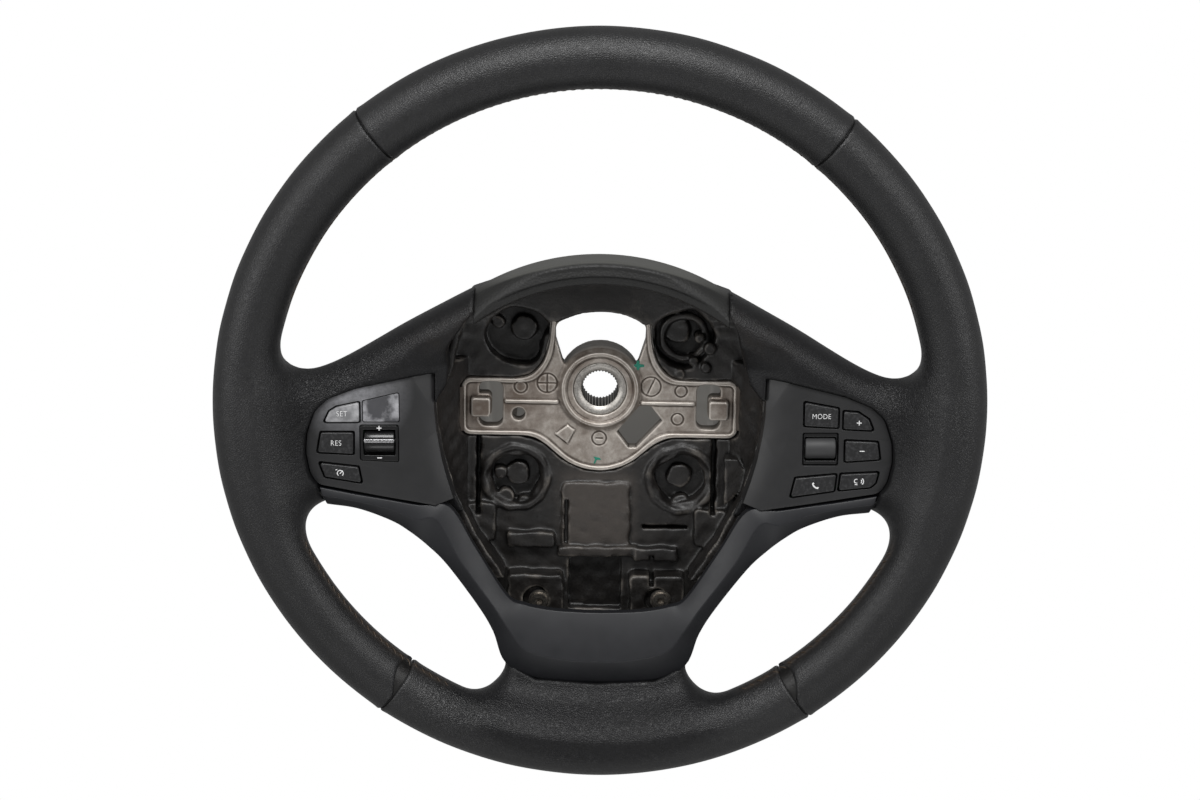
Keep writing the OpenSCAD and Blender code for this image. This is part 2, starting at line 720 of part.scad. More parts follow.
module key_holes(keys) for (pts = keys) {
    translate([0, 0, face_z - face_t - 0.1]) linear_extrude(face_t + 1) key_plan(pts);
    // Room for the key's flange where it comes near the side wall
    translate([0, 0, flange_z - key_travel - seat])
        linear_extrude(face_z - face_t - flange_z + key_travel + seat) key_plan(pts, 0.4 + seat);
}

// Cheek under the faceplate that holds one trunnion
module cheeks(y, low_z)
    for (s = [-1, 1])
        translate([barrel_x + s * (barrel_half + cheek_gap + cheek_t / 2), y, 0])
            difference() {
                translate([-cheek_t / 2, -4, low_z]) cube([cheek_t, 8, face_z - face_t - low_z + 0.1]);
                translate([0, 0, barrel_z]) rotate([0, 90, 0])
                    cylinder(h = cheek_t + 2, d = trunnion_d + 2 * running_gap, center = true);
            }

surround_t = 1.4;
module left_pod_housing() color("#2a2a2b") mirror([1, 0, 0]) upright() {
    difference() {
        pod_shell(left_posts);
        key_holes(left_keys);
        translate([0, 0, face_z - surround_t]) linear_extrude(9) key_plan(surround_pts);
        translate([0, 0, face_z - 8]) linear_extrude(9) key_plan(surround_pts, -1);
        translate([0, 0, face_z - 1.2]) linear_extrude(9) key_plan(blank_pts);
    }
    difference() {
        cheeks(rocker_y, barrel_z - 4);
        translate([0, 0, face_z - surround_t]) linear_extrude(9) key_plan(surround_pts);
    }
}

module right_pod_housing() color("#2a2a2b") upright()
    difference() {
        pod_shell(right_posts);
        key_holes(right_keys);
        translate([0, 0, face_z - 8]) linear_extrude(9) cradle_plan(0.4);
    }

module left_blank_insert() color("#5a5a5c") mirror([1, 0, 0]) upright()
    translate([0, 0, face_z - 1.2]) linear_extrude(1.2) key_plan(blank_pts, -0.1);

module left_rocker_surround() color("#1e1e1f") mirror([1, 0, 0]) upright()
    difference() {
        translate([0, 0, face_z - surround_t]) linear_extrude(surround_t) key_plan(surround_pts, -0.1);
        translate([barrel_x, rocker_y, 0])
            cube([2 * barrel_half + 1, rocker_d + 0.8, 4 * face_z], center = true);
    }

// Barrel on two trunnions
module barrel(d, y, trunnion_l)
    translate([barrel_x, y, barrel_z]) rotate([0, 90, 0]) {
        cylinder(h = 2 * barrel_half, d = d, center = true);
        cylinder(h = 2 * (barrel_half + trunnion_l), d = trunnion_d, center = true);
    }

// Barrel with a raised thumb bar
module speed_rocker() color("#1c1c1d") mirror([1, 0, 0]) upright() {
    barrel(rocker_d, rocker_y, cheek_gap + cheek_t);
    translate([barrel_x - barrel_half, rocker_y + 0.6, barrel_z + rocker_d / 2 - 1])
        cube([2 * barrel_half, 1.7, 1.35]);
}

module menu_roller() color("#1c1c1d") upright()
    difference() {
        barrel(roller_d, roller_y, 0.8);
        for (i = [0:23]) translate([barrel_x, roller_y, barrel_z]) rotate([i * 15, 0, 0])
            translate([0, 0, roller_d / 2]) rotate([0, 90, 0])
                cylinder(h = 2 * barrel_half - 3, d = 0.7, center = true);
    }

module roller_cradle() color("#232324") upright()
    difference() {
        union() {
            translate([0, 0, dome_top + stem_gap])
                linear_extrude(face_z - 1 - dome_top - stem_gap) cradle_plan();
            translate([0, 0, flange_z]) linear_extrude(flange_t) cradle_plan(0.8);
        }
        translate([barrel_x, roller_y, face_z])
            cube([2 * (barrel_half + cheek_gap / 2), roller_d + 1, 40], center = true);
        translate([barrel_x, roller_y, barrel_z]) rotate([0, 90, 0])
            cylinder(h = 60, d = trunnion_d + 2 * running_gap, center = true);
    }

// Key cap with its flange behind the faceplate and its stem over the dome
module key_cap(pts) upright() {
    m = middle(pts);
    translate([0, 0, flange_z]) {
        linear_extrude(face_z + key_proud - flange_z) key_plan(pts, -key_gap);
        linear_extrude(flange_t) key_plan(pts, 0.4);
    }
    translate([m[0], m[1], dome_top + stem_gap]) cylinder(h = flange_z - dome_top - stem_gap + 0.1, d = 3);
}
key_colour = "#2b2b2c";
module set_button() color("#8b8b8d") mirror([1, 0, 0]) key_cap(set_pts);
module resume_button() color(key_colour) mirror([1, 0, 0]) key_cap(resume_pts);
module cruise_button() color(key_colour) mirror([1, 0, 0]) key_cap(cruise_pts);
module mode_button() color(key_colour) key_cap(mode_pts);
module volume_up_button() color(key_colour) key_cap(volume_up_pts);
module volume_down_button() color(key_colour) key_cap(volume_down_pts);
module phone_button() color(key_colour) key_cap(phone_pts);
module voice_button() color(key_colour) key_cap(voice_pts);

board_colour = "#1f5a3a";
module board(posts) upright()
    difference() {
        translate([0, 0, board_z - board_t]) linear_extrude(board_t) pod_plan(-pod_wall - seat);
        for (p = posts) translate([p[0], p[1], board_z - board_t - 1]) cylinder(h = board_t + 2, d = 2.4);
    }
module left_switch_board() color(board_colour) mirror([1, 0, 0]) board(left_posts);
module right_switch_board() color(board_colour) board(right_posts);

// Rubber mat with a dome under each key
mat_colour = "#3c3c3e";
module key_mat(keys, posts, hole_y) upright() {
    difference() {
        translate([0, 0, board_z]) linear_extrude(mat_t) pod_plan(-pod_wall - 1.5);
        for (p = posts) translate([p[0], p[1], board_z - 1]) cylinder(h = mat_t + 2, d = post_d + 0.8);
        translate([barrel_x, hole_y, board_z]) cube([17, 15, 6], center = true);
    }
    for (pts = keys) {
        m = middle(pts);
        translate([m[0], m[1], board_z + mat_t - 0.1]) cylinder(h = dome_h + 0.1, d1 = 6, d2 = 3.6);
    }
}
module left_key_mat() color(mat_colour) mirror([1, 0, 0]) key_mat(left_keys, left_posts, rocker_y);
module right_key_mat() color(mat_colour) key_mat(right_keys, right_posts, roller_y);

module board_screws(posts) upright()
    for (p = posts) translate([p[0], p[1], 0]) {
        translate([0, 0, board_z - board_t - 1.4]) cylinder(h = 1.4, d = 4);
        translate([0, 0, board_z - board_t - 1]) cylinder(h = 7, d = 1.8);
    }
module left_pod_screws() color(screw_colour) mirror([1, 0, 0]) board_screws(left_posts);
module right_pod_screws() color(screw_colour) board_screws(right_posts);

armature();
hub_bush();
foam_core();
leather_top();
leather_left();
leather_right();
leather_bottom();
lower_bezel();
bezel_screw_left();
bezel_screw_right();
rear_cover();
rear_cover_screws();
left_pod_housing();
left_switch_board();
left_key_mat();
left_pod_screws();
left_blank_insert();
left_rocker_surround();
speed_rocker();
set_button();
resume_button();
cruise_button();
right_pod_housing();
right_switch_board();
right_key_mat();
right_pod_screws();
roller_cradle();
menu_roller();
mode_button();
volume_up_button();
volume_down_button();
phone_button();
voice_button();
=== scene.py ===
# Looks of a leather-covered car steering wheel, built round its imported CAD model.
# Shapes are drawn in millimetres, flat: X right, Y towards twelve o'clock, Z towards the driver.
# toRow() stands them up in the row's frame, in metres.
import functools
import json
import math

import bmesh
import bpy
import numpy as np
import openvdb
from mathutils import Matrix, Vector


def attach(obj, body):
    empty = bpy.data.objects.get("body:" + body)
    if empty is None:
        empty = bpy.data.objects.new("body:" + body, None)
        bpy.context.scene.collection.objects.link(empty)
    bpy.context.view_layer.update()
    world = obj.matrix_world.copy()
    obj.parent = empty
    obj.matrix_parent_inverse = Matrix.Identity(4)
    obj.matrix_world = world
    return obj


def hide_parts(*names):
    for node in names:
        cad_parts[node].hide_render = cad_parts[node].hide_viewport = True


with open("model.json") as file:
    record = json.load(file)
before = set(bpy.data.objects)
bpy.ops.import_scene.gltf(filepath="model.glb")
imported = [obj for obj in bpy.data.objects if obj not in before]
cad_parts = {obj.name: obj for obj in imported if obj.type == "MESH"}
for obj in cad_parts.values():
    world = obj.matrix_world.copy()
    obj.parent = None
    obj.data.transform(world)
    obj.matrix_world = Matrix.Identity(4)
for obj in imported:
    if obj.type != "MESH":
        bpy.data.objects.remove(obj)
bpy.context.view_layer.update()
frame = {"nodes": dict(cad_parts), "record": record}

# Sizes shared with the CAD model

rim = {"radius": 175.0, "grip": 15.0, "dish": 44.0}
faceZ = 39.0
podDepth = 16.0
seamAngles = {"topRight": 51.0, "topLeft": 129.0, "bottomLeft": 235.2, "bottomRight": 304.8}
seamGap = 0.5
barrelX = 109.0
barrelZ = 35.25
rockerY = -17.0
rollerY = -20.6
screwPlace = (31.0, -109.0)

# The wheel in the photograph is turned clockwise by one degree. The keys of the CAD model stand as seen
# there, and the skins, drawn symmetric, turn to them with rolled() and finishPiece.
roll = math.radians(1.0)
podInner = [(81.9, -3), (80.7, -14), (78.3, -27), (75.5, -37.5)]
podOutline = [(82, 15.6), (92, 15), (97.5, 13.8), (121, 8.2), (134, 3), (140.5, -3), (144.5, -15),
              (145, -25), (143, -35), (139.5, -41), (105.8, -47), (81, -51), (72, -48.5)] + podInner[::-1]
keyOutlines = {
    "set": [(118.2, -7), (118.2, 4.1), (130, 1.6), (133.8, -0.8), (136.8, -7)],
    "blank": [(99, -6.6), (99, 8.4), (117, 4.2), (117, -6.6)],
    "resume": [(121.5, -23.4), (121.2, -11.3), (138.2, -11.3), (140.2, -22.4)],
    "cruise": [(119.3, -29.2), (139.6, -26.8), (136.6, -35), (117.6, -38.3)],
    "surround": [(99.6, -8.2), (118.5, -8.2), (118.5, -26), (99.6, -27)],
    "mode": [(100.4, -9), (100.4, 4.1), (118, 0.7), (118, -10)],
    "volume_up": [(119.7, -10.6), (119.7, -0.6), (127.5, -1.2), (133, -5), (135.6, -11.4)],
    "volume_down": [(120.7, -15.6), (137.6, -16.4), (139, -26.2), (120.7, -27.4)],
    "phone": [(94, -45.8), (96.5, -35), (117.6, -33), (116.6, -42.4)],
    "voice": [(118.9, -32.9), (138.6, -32), (137, -38.2), (134.3, -40.6), (117.8, -42.3)],
}
keyGap = 0.55
keyProud = 0.8


def toRow(points):
    points = np.asarray(points, float)
    return np.stack([points[:, 0], -points[:, 2], points[:, 1]], 1) / 1000


def rolled(points, turn=roll):
    c, s = math.cos(turn), math.sin(turn)
    return [(x * c + y * s, y * c - x * s) for x, y in points]


# Distance fields, in millimetres, negative inside

def joined(a, b, blend):
    share = np.clip(0.5 + 0.5 * (b - a) / blend, 0, 1)
    return b + (a - b) * share - blend * share * (1 - share)


def carved(a, b, blend):
    return -joined(-a, b, blend)


def within(a, b, blend):
    return -joined(-a, -b, blend)


def discField(x, y, centre, radius):
    return np.hypot(x - centre[0], y - centre[1]) - radius


def boxField(x, y, centre, half, corner=0.0):
    dx = np.abs(x - centre[0]) - half[0] + corner
    dy = np.abs(y - centre[1]) - half[1] + corner
    return np.minimum(np.maximum(dx, dy), 0) + np.hypot(np.maximum(dx, 0), np.maximum(dy, 0)) - corner


def polygonField(x, y, points):
    best = np.full(np.broadcast(x, y).shape, 1e9)
    side = np.ones(best.shape)
    for (ax, ay), (bx, by) in zip(points, points[1:] + points[:1]):
        ex, ey = bx - ax, by - ay
        wx, wy = x - ax, y - ay
        t = np.clip((wx * ex + wy * ey) / (ex * ex + ey * ey), 0, 1)
        best = np.minimum(best, (wx - t * ex) ** 2 + (wy - t * ey) ** 2)
        above = y >= ay
        below = y < by
        left = ex * wy > ey * wx
        flip = (above & below & left) | (~above & ~below & ~left)
        side = np.where(flip, -side, side)
    return side * np.sqrt(best)


def lineField(x, y, a, b):
    (ax, ay), (bx, by) = a, b
    ex, ey = bx - ax, by - ay
    t = np.clip(((x - ax) * ex + (y - ay) * ey) / (ex * ex + ey * ey), 0, 1)
    return np.hypot(x - ax - t * ex, y - ay - t * ey)


def slabField(flat, z, low, high, edge=0.6):
    dz = np.abs(z - (low + high) / 2) - (high - low) / 2 + edge
    flat = flat + edge
    return np.minimum(np.maximum(flat, dz), 0) + np.hypot(np.maximum(flat, 0), np.maximum(dz, 0)) - edge


def ripple(x, y, z, size, seed):
    rng = np.random.default_rng(seed)
    total = 0
    for _ in range(5):
        turn = rng.normal(size=3)
        turn *= 2 * math.pi / (size * rng.uniform(0.7, 1.6) * np.linalg.norm(turn))
        total = total + np.sin(x * turn[0] + y * turn[1] + z * turn[2] + rng.uniform(0, 6.28))
    return total / 5


# Above 0.5 on ridges and edges, below it in hollows
def relief(field, reach):
    def share(x, y, z):
        steps = [(reach, 0, 0), (-reach, 0, 0), (0, reach, 0), (0, -reach, 0), (0, 0, reach), (0, 0, -reach)]
        around = sum(field(x + a, y + b, z + c) for a, b, c in steps) / 6
        return 0.5 + 1.5 * (around - field(x, y, z)) / reach
    return share


def smoothCurve(xs, ys, degree=4):
    middle, spread = (max(xs) + min(xs)) / 2, (max(xs) - min(xs)) / 2
    poly = np.polynomial.Polynomial.fit((np.array(xs) - middle) / spread, ys, degree)
    return lambda x: poly(np.clip((x - middle) / spread, -1, 1))


# Meshes

def edited(mesh, change):
    work = bmesh.new()
    work.from_mesh(mesh)
    change(work)
    work.to_mesh(mesh)
    work.free()
    return mesh


def outward(work):
    bmesh.ops.recalc_face_normals(work, faces=work.faces)


def addLines(curve, lines, closed):
    for line in lines:
        spline = curve.splines.new("POLY")
        spline.points.add(len(line) - 1)
        for point, (x, y) in zip(spline.points, line):
            point.co = (x, y, 0, 1)
        spline.use_cyclic_u = closed


# Adds a mesh as a piece that rides on a body. crease is the angle above which edges stay sharp.
def finishPiece(mesh, name, material, body, nodes=(), crease=None, turned=False):
    if turned:
        mesh.transform(Matrix.Rotation(roll, 4, "Y"))
    piece = bpy.data.objects.new(name, mesh)
    bpy.context.scene.collection.objects.link(piece)
    mesh.materials.clear()
    mesh.materials.append(material)
    mesh.shade_smooth()
    if crease:
        mesh.set_sharp_from_angle(angle=math.radians(crease))
    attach(piece, body)
    if nodes:
        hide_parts(*nodes)
    print(name, len(mesh.polygons), "faces")


# Skins the field's zero surface, then draws each point onto it twice along the slope
def meshFromField(field, low, high, step):
    axes = [np.arange(a - 2 * step, b + 2.5 * step, step) for a, b in zip(low, high)]
    values = np.empty([len(a) for a in axes], np.float32)
    gx, gy = np.meshgrid(axes[0], axes[1], indexing="ij")
    for k, z in enumerate(axes[2]):
        values[:, :, k] = field(gx, gy, np.full(gx.shape, z))
    grid = openvdb.FloatGrid(float(8 * step))
    grid.copyFromArray(np.clip(values, -8 * step, 8 * step))
    points, quads = grid.convertToQuads(isovalue=0.0)
    points = points.astype(float) * step + np.array([a[0] for a in axes])
    h = 0.25 * step
    for _ in range(2):
        x, y, z = points.T
        value = field(x, y, z)
        slope = np.stack([field(x + h, y, z) - field(x - h, y, z),
                          field(x, y + h, z) - field(x, y - h, z),
                          field(x, y, z + h) - field(x, y, z - h)], 1) / (2 * h)
        size = np.maximum((slope ** 2).sum(1), 0.25)
        move = np.clip(value / size, -0.5 * step, 0.5 * step)
        points = points - slope * move[:, None]
    return points, quads


def fieldPiece(name, field, low, high, step, material, nodes=(), attributes=None, turned=True):
    points, quads = meshFromField(field, low, high, step)
    a, b, c = (points[quads[:, i]] for i in (0, 1, 2))
    if (np.cross(b - a, c - a) * a).sum() < 0:
        quads = quads[:, ::-1]
    mesh = bpy.data.meshes.new(name)
    mesh.from_pydata(toRow(points).tolist(), [], quads.tolist())
    for key, formula in (attributes or {}).items():
        values = np.clip(formula(*points.T), 0, 1).astype(np.float32)
        mesh.attributes.new(key, "FLOAT", "POINT").data.foreach_set("value", values)
    finishPiece(mesh, name, material, "wheel", nodes, None, turned)


def roundedLoop(points, radius, steps=6, sharp=()):
    loop = []
    count = len(points)
    for i, point in enumerate(points):
        p = Vector(point)
        if i in sharp:
            loop.append(tuple(p))
            continue
        before, after = Vector(points[i - 1]) - p, Vector(points[(i + 1) % count]) - p
        half = before.angle(after) / 2
        if half > 1.5:
            loop.append(tuple(p))
            continue
        reach = min(radius / math.tan(half), 0.45 * before.length, 0.45 * after.length)
        bend = reach * math.tan(half)
        centre = p + (before.normalized() + after.normalized()).normalized() * (bend / math.sin(half))
        first, last = p + before.normalized() * reach - centre, p + after.normalized() * reach - centre
        sweep = first.angle_signed(last)
        start = math.atan2(first.y, first.x)
        for k in range(steps + 1):
            angle = start - sweep * k / steps
            loop.append((centre.x + bend * math.cos(angle), centre.y + bend * math.sin(angle)))
    return loop


def boxLoop(centre, half):
    (cx, cy), (hx, hy) = centre, half
    return [(cx - hx, cy - hy), (cx + hx, cy - hy), (cx + hx, cy + hy), (cx - hx, cy + hy)]


def circleLoop(centre, radius, steps=40):
    return [(centre[0] + radius * math.cos(2 * math.pi * k / steps),
             centre[1] + radius * math.sin(2 * math.pi * k / steps)) for k in range(steps)]


def plateMesh(name, loops, low, high, bevel, reshape=None, folds=()):
    curve = bpy.data.curves.new(name, "CURVE")
    curve.dimensions = "2D"
    curve.fill_mode = "BOTH"
    curve.extrude = max((high - low) / 2 - bevel, 0.001)
    curve.bevel_depth = bevel
    curve.bevel_resolution = 2
    curve.offset = -bevel
    addLines(curve, loops, True)
    return curveToMesh(curve, (low + high) / 2, reshape, folds)


def curveToMesh(curve, z, reshape=None, folds=()):
    holder = bpy.data.objects.new(curve.name, curve)
    bpy.context.scene.collection.objects.link(holder)
    bpy.context.view_layer.update()
    shape = holder.evaluated_get(bpy.context.evaluated_depsgraph_get())
    mesh = bpy.data.meshes.new_from_object(shape)
    bpy.data.objects.remove(holder)

    def cleanAndFold(work):
        bmesh.ops.remove_doubles(work, verts=work.verts, dist=1e-4)
        for point, normal in folds:
            everything = work.verts[:] + work.edges[:] + work.faces[:]
            bmesh.ops.bisect_plane(work, geom=everything, plane_co=(*point, 0), plane_no=(*normal, 0))
    edited(mesh, cleanAndFold)
    points = np.array([v.co for v in mesh.vertices]) + (0, 0, z)
    if reshape:
        points = reshape(points)
    mesh.vertices.foreach_set("co", toRow(points).astype(np.float32).ravel())
    mesh.update()
    return mesh


def latheMesh(name, profile, centre, axis, steps=64, ends=True):
    rows = [[r * math.cos(2 * math.pi * k / steps), r * math.sin(2 * math.pi * k / steps), h]
            for r, h in profile for k in range(steps)]
    rows = np.array(rows)
    if axis == "x":
        rows = rows[:, [2, 0, 1]]
    rows = rows + np.array(centre)
    faces = []
    for i in range(len(profile) - 1):
        for k in range(steps):
            a, b = i * steps + k, i * steps + (k + 1) % steps
            faces.append((a, b, b + steps, a + steps))
    if ends:
        faces.append(tuple(range(steps))[::-1])
        faces.append(tuple((len(profile) - 1) * steps + k for k in range(steps)))
    mesh = bpy.data.meshes.new(name)
    mesh.from_pydata(toRow(rows).tolist(), [], faces)
    return edited(mesh, outward)


# Materials

def linear(code):
    parts = [int(code[i:i + 2], 16) / 255 for i in (1, 3, 5)]
    return [c / 12.92 if c <= 0.04045 else ((c + 0.055) / 1.055) ** 2.4 for c in parts] + [1.0]


def darkened(code, share):
    return [c * share for c in linear(code)[:3]] + [1.0]


# The socket that others read, where it isn't a node's first
mainOutput = {"Mix": 2, "Attribute": 2, "TexCoord": 3, "VectorMath": 1}


def node(tree, kind, inputs=None, **settings):
    made = tree.nodes.new("ShaderNode" + kind)
    for key, value in settings.items():
        setattr(made, key, value)
    for key, value in (inputs or {}).items():
        if isinstance(value, bpy.types.NodeSocket):
            tree.links.new(value, made.inputs[key])
        else:
            made.inputs[key].default_value = value
    return made.outputs[mainOutput.get(kind, 0)] if made.outputs else None


def startMaterial(name):
    material = bpy.data.materials.new(name)
    material.use_nodes = True
    material.node_tree.nodes.clear()
    add = functools.partial(node, material.node_tree)
    return material, add, add("TexCoord")


def perMetre(size):
    return 1000 / size


# Black cowhide, tanned and pressed with a pebble grain of about 1 mm: near black with a soft sheen,
# shinier and coarser where hands rub it. The pores are drawn at 0.5 mm, coarser than real, to show.
def leatherMaterial():
    material, add, place = startMaterial("blackLeather")
    worn = add("Attribute", attribute_name="worn")
    dirt = add("Attribute", attribute_name="dirt")
    flat = add("Attribute", attribute_name="flat")
    cells = add("TexVoronoi", {"Vector": place, "Scale": 950.0}, feature="DISTANCE_TO_EDGE")
    pebbles = add("MapRange", {"Value": cells, "From Max": 0.28})
    pores = add("TexNoise", {"Vector": place, "Scale": perMetre(0.5), "Detail": 3.0, "Roughness": 0.55})
    folds = add("TexNoise", {"Vector": place, "Scale": perMetre(5.0), "Detail": 5.0, "Roughness": 0.6})
    cloud = add("TexNoise", {"Vector": place, "Scale": perMetre(28.0), "Detail": 3.0, "Roughness": 0.55})
    patch = add("TexNoise", {"Vector": place, "Scale": perMetre(3.0), "Detail": 4.0, "Roughness": 0.55})
    share = add("MapRange", {"Value": cloud, "From Min": 0.3, "From Max": 0.7})
    shade = add("Mix", {0: share, 6: linear("#141415"), 7: linear("#1b1b1c")}, data_type="RGBA")
    # Painted shade: the flat faces of the spokes and the low spoke are darkened towards #08080a
    share = add("Math", {0: flat, 1: 0.6}, operation="MULTIPLY")
    shade = add("Mix", {0: share, 6: shade, 7: linear("#08080a")}, data_type="RGBA")
    share = add("Math", {0: dirt, 1: 0.55}, operation="MULTIPLY")
    shade = add("Mix", {0: share, 6: shade, 7: linear("#4a3d30")}, data_type="RGBA")
    rough = add("MapRange", {"Value": patch, "From Min": 0.25, "From Max": 0.75, "To Min": 0.37,
                             "To Max": 0.49})
    rubbed = add("Math", {0: worn, 1: 0.08}, operation="MULTIPLY")
    rough = add("Math", {0: rough, 1: rubbed}, operation="SUBTRACT")
    depth = add("MapRange", {"Value": worn, "To Min": 0.35, "To Max": 1.0})
    grain = add("Math", {0: pebbles, 1: depth}, operation="MULTIPLY")
    creases = add("Math", {0: folds, 1: worn}, operation="MULTIPLY")
    normal = add("Bump", {"Height": grain, "Distance": 0.00018, "Strength": 1.0})
    normal = add("Bump", {"Height": pores, "Distance": 0.00007, "Strength": 0.5, "Normal": normal})
    normal = add("Bump", {"Height": creases, "Distance": 0.0014, "Strength": 0.5, "Normal": normal})
    specular = add("MapRange", {"Value": flat, "To Min": 0.5, "To Max": 0.3})
    shader = add("BsdfPrincipled", {"Base Color": shade, "Roughness": rough, "Normal": normal,
                                    "Specular IOR Level": specular})
    add("OutputMaterial", {"Surface": shader})
    return material


# Injection-moulded ABS or PC/ABS, or rubber by its numbers: an even colour with a fine moulded grain
# that breaks up the highlight, pale scuffs where it is rubbed, and, around a given point, pale specks as a
# painted highlight
def plasticMaterial(name, code, rough, grain=0.35, depth=0.02, scuff=0.0, scuffCode="#8a8a8c", scuffSize=1.6,
                    highlightAt=None):
    material, add, place = startMaterial(name)
    texture = add("TexNoise", {"Vector": place, "Scale": perMetre(grain), "Detail": 2.0, "Roughness": 0.55})
    cloud = add("TexNoise", {"Vector": place, "Scale": perMetre(9.0), "Detail": 4.0, "Roughness": 0.6})
    share = add("MapRange", {"Value": cloud, "From Min": 0.3, "From Max": 0.7})
    shade = add("Mix", {0: share, 6: darkened(code, 0.86), 7: linear(code)}, data_type="RGBA")
    if scuff:
        marks = add("TexNoise", {"Vector": place, "Scale": perMetre(scuffSize), "Detail": 8.0,
                                 "Roughness": 0.6})
        share = add("MapRange", {"Value": marks, "From Min": 0.48, "From Max": 0.7, "To Max": scuff})
        shade = add("Mix", {0: share, 6: shade, 7: linear(scuffCode)}, data_type="RGBA")
    # Painted highlight: pale specks around the given point, where the pod's upper edge catches the light
    if highlightAt:
        away = add("VectorMath", {0: place, 1: highlightAt}, operation="DISTANCE")
        near = add("MapRange", {"Value": away, "From Min": 0.03, "From Max": 0.004})
        specks = add("TexNoise", {"Vector": place, "Scale": perMetre(3.0), "Detail": 6.0, "Roughness": 0.7})
        share = add("Math", {0: near, 1: specks}, operation="MULTIPLY")
        shade = add("Mix", {0: share, 6: shade, 7: linear("#a2a2a6")}, data_type="RGBA")
    sheen = add("MapRange", {"Value": cloud, "From Min": 0.2, "From Max": 0.8, "To Min": rough - 0.05,
                             "To Max": rough + 0.06})
    normal = add("Bump", {"Height": texture, "Distance": depth / 1000, "Strength": 0.6})
    shader = add("BsdfPrincipled", {"Base Color": shade, "Roughness": sheen, "Normal": normal})
    add("OutputMaterial", {"Surface": shader})
    return material


# Moulded polypropylene with a spark-eroded grain: dull black outside. Its inside is painted pale and made to
# glow faintly, painted light, as it is seen through the casting's holes.
def coverMaterial():
    material, add, place = startMaterial("coverPlastic")
    inside = add("Attribute", attribute_name="inside")
    # Painted light: the inside is pale and glows faintly
    shade = add("Mix", {0: inside, 6: linear("#232325"), 7: linear("#b9b7b2")}, data_type="RGBA")
    glow = add("Math", {0: inside, 1: 0.2}, operation="MULTIPLY")
    grain = add("TexNoise", {"Vector": place, "Scale": perMetre(0.5), "Detail": 2.0, "Roughness": 0.55})
    normal = add("Bump", {"Height": grain, "Distance": 0.00003, "Strength": 0.6})
    shader = add("BsdfPrincipled", {"Base Color": shade, "Roughness": 0.5, "Normal": normal,
                                    "Emission Color": linear("#a8a6a2"), "Emission Strength": glow})
    add("OutputMaterial", {"Surface": shader})
    return material


# Integral-skin polyurethane foam, cast in the mould: brown-black, uneven and chalky in patches, with painted
# highlights on its ridges, a painted sheen on the middle panel, and painted shade that blackens its hollows
def foamMaterial():
    material, add, place = startMaterial("skinFoam")
    ridge = add("Attribute", attribute_name="relief")
    panelSheen = add("Attribute", attribute_name="panelSheen")
    sunk = add("Attribute", attribute_name="sunk")
    cloud = add("TexNoise", {"Vector": place, "Scale": perMetre(14.0), "Detail": 6.0, "Roughness": 0.65})
    fine = add("TexNoise", {"Vector": place, "Scale": perMetre(1.3), "Detail": 6.0, "Roughness": 0.7})
    share = add("MapRange", {"Value": cloud, "From Min": 0.35, "From Max": 0.7})
    shade = add("Mix", {0: share, 6: linear("#110f0e"), 7: linear("#1f1c1a")}, data_type="RGBA")
    # Painted sheen: paler over the middle panel
    share = add("Math", {0: panelSheen, 1: 0.85}, operation="MULTIPLY")
    shade = add("Mix", {0: share, 6: shade, 7: linear("#3f3a36")}, data_type="RGBA")
    # Painted shade: darker in the sunk pockets, then in hollows where the relief is low
    share = add("Math", {0: sunk, 1: 0.6}, operation="MULTIPLY")
    shade = add("Mix", {0: share, 6: shade, 7: linear("#0d0c0b")}, data_type="RGBA")
    share = add("MapRange", {"Value": ridge, "From Min": 0.46, "From Max": 0.3, "To Max": 0.85})
    shade = add("Mix", {0: share, 6: shade, 7: linear("#0a0908")}, data_type="RGBA")
    # Pale colour, its strength, and the noise or relief that it follows: chalk in patches, then painted
    # highlights along ridges
    for code, strength, guide, low, high, cloudLow, cloudHigh in (
            ("#6d6861", 0.5, fine, 0.6, 0.78, 0.5, 0.7), ("#7a746d", 0.7, ridge, 0.55, 0.78, 0.48, 0.66)):
        marks = add("MapRange", {"Value": guide, "From Min": low, "From Max": high})
        patch = add("MapRange", {"Value": cloud, "From Min": cloudLow, "From Max": cloudHigh})
        share = add("Math", {0: marks, 1: patch}, operation="MULTIPLY")
        share = add("Math", {0: share, 1: strength}, operation="MULTIPLY")
        shade = add("Mix", {0: share, 6: shade, 7: linear(code)}, data_type="RGBA")
    rough = add("MapRange", {"Value": fine, "From Min": 0.3, "From Max": 0.7, "To Min": 0.32,
                             "To Max": 0.56})
    normal = add("Bump", {"Height": cloud, "Distance": 0.0016, "Strength": 0.45})
    normal = add("Bump", {"Height": fine, "Distance": 0.00016, "Strength": 0.6, "Normal": normal})
    shader = add("BsdfPrincipled", {"Base Color": shade, "Roughness": rough, "Normal": normal})
    add("OutputMaterial", {"Surface": shader})
    return material


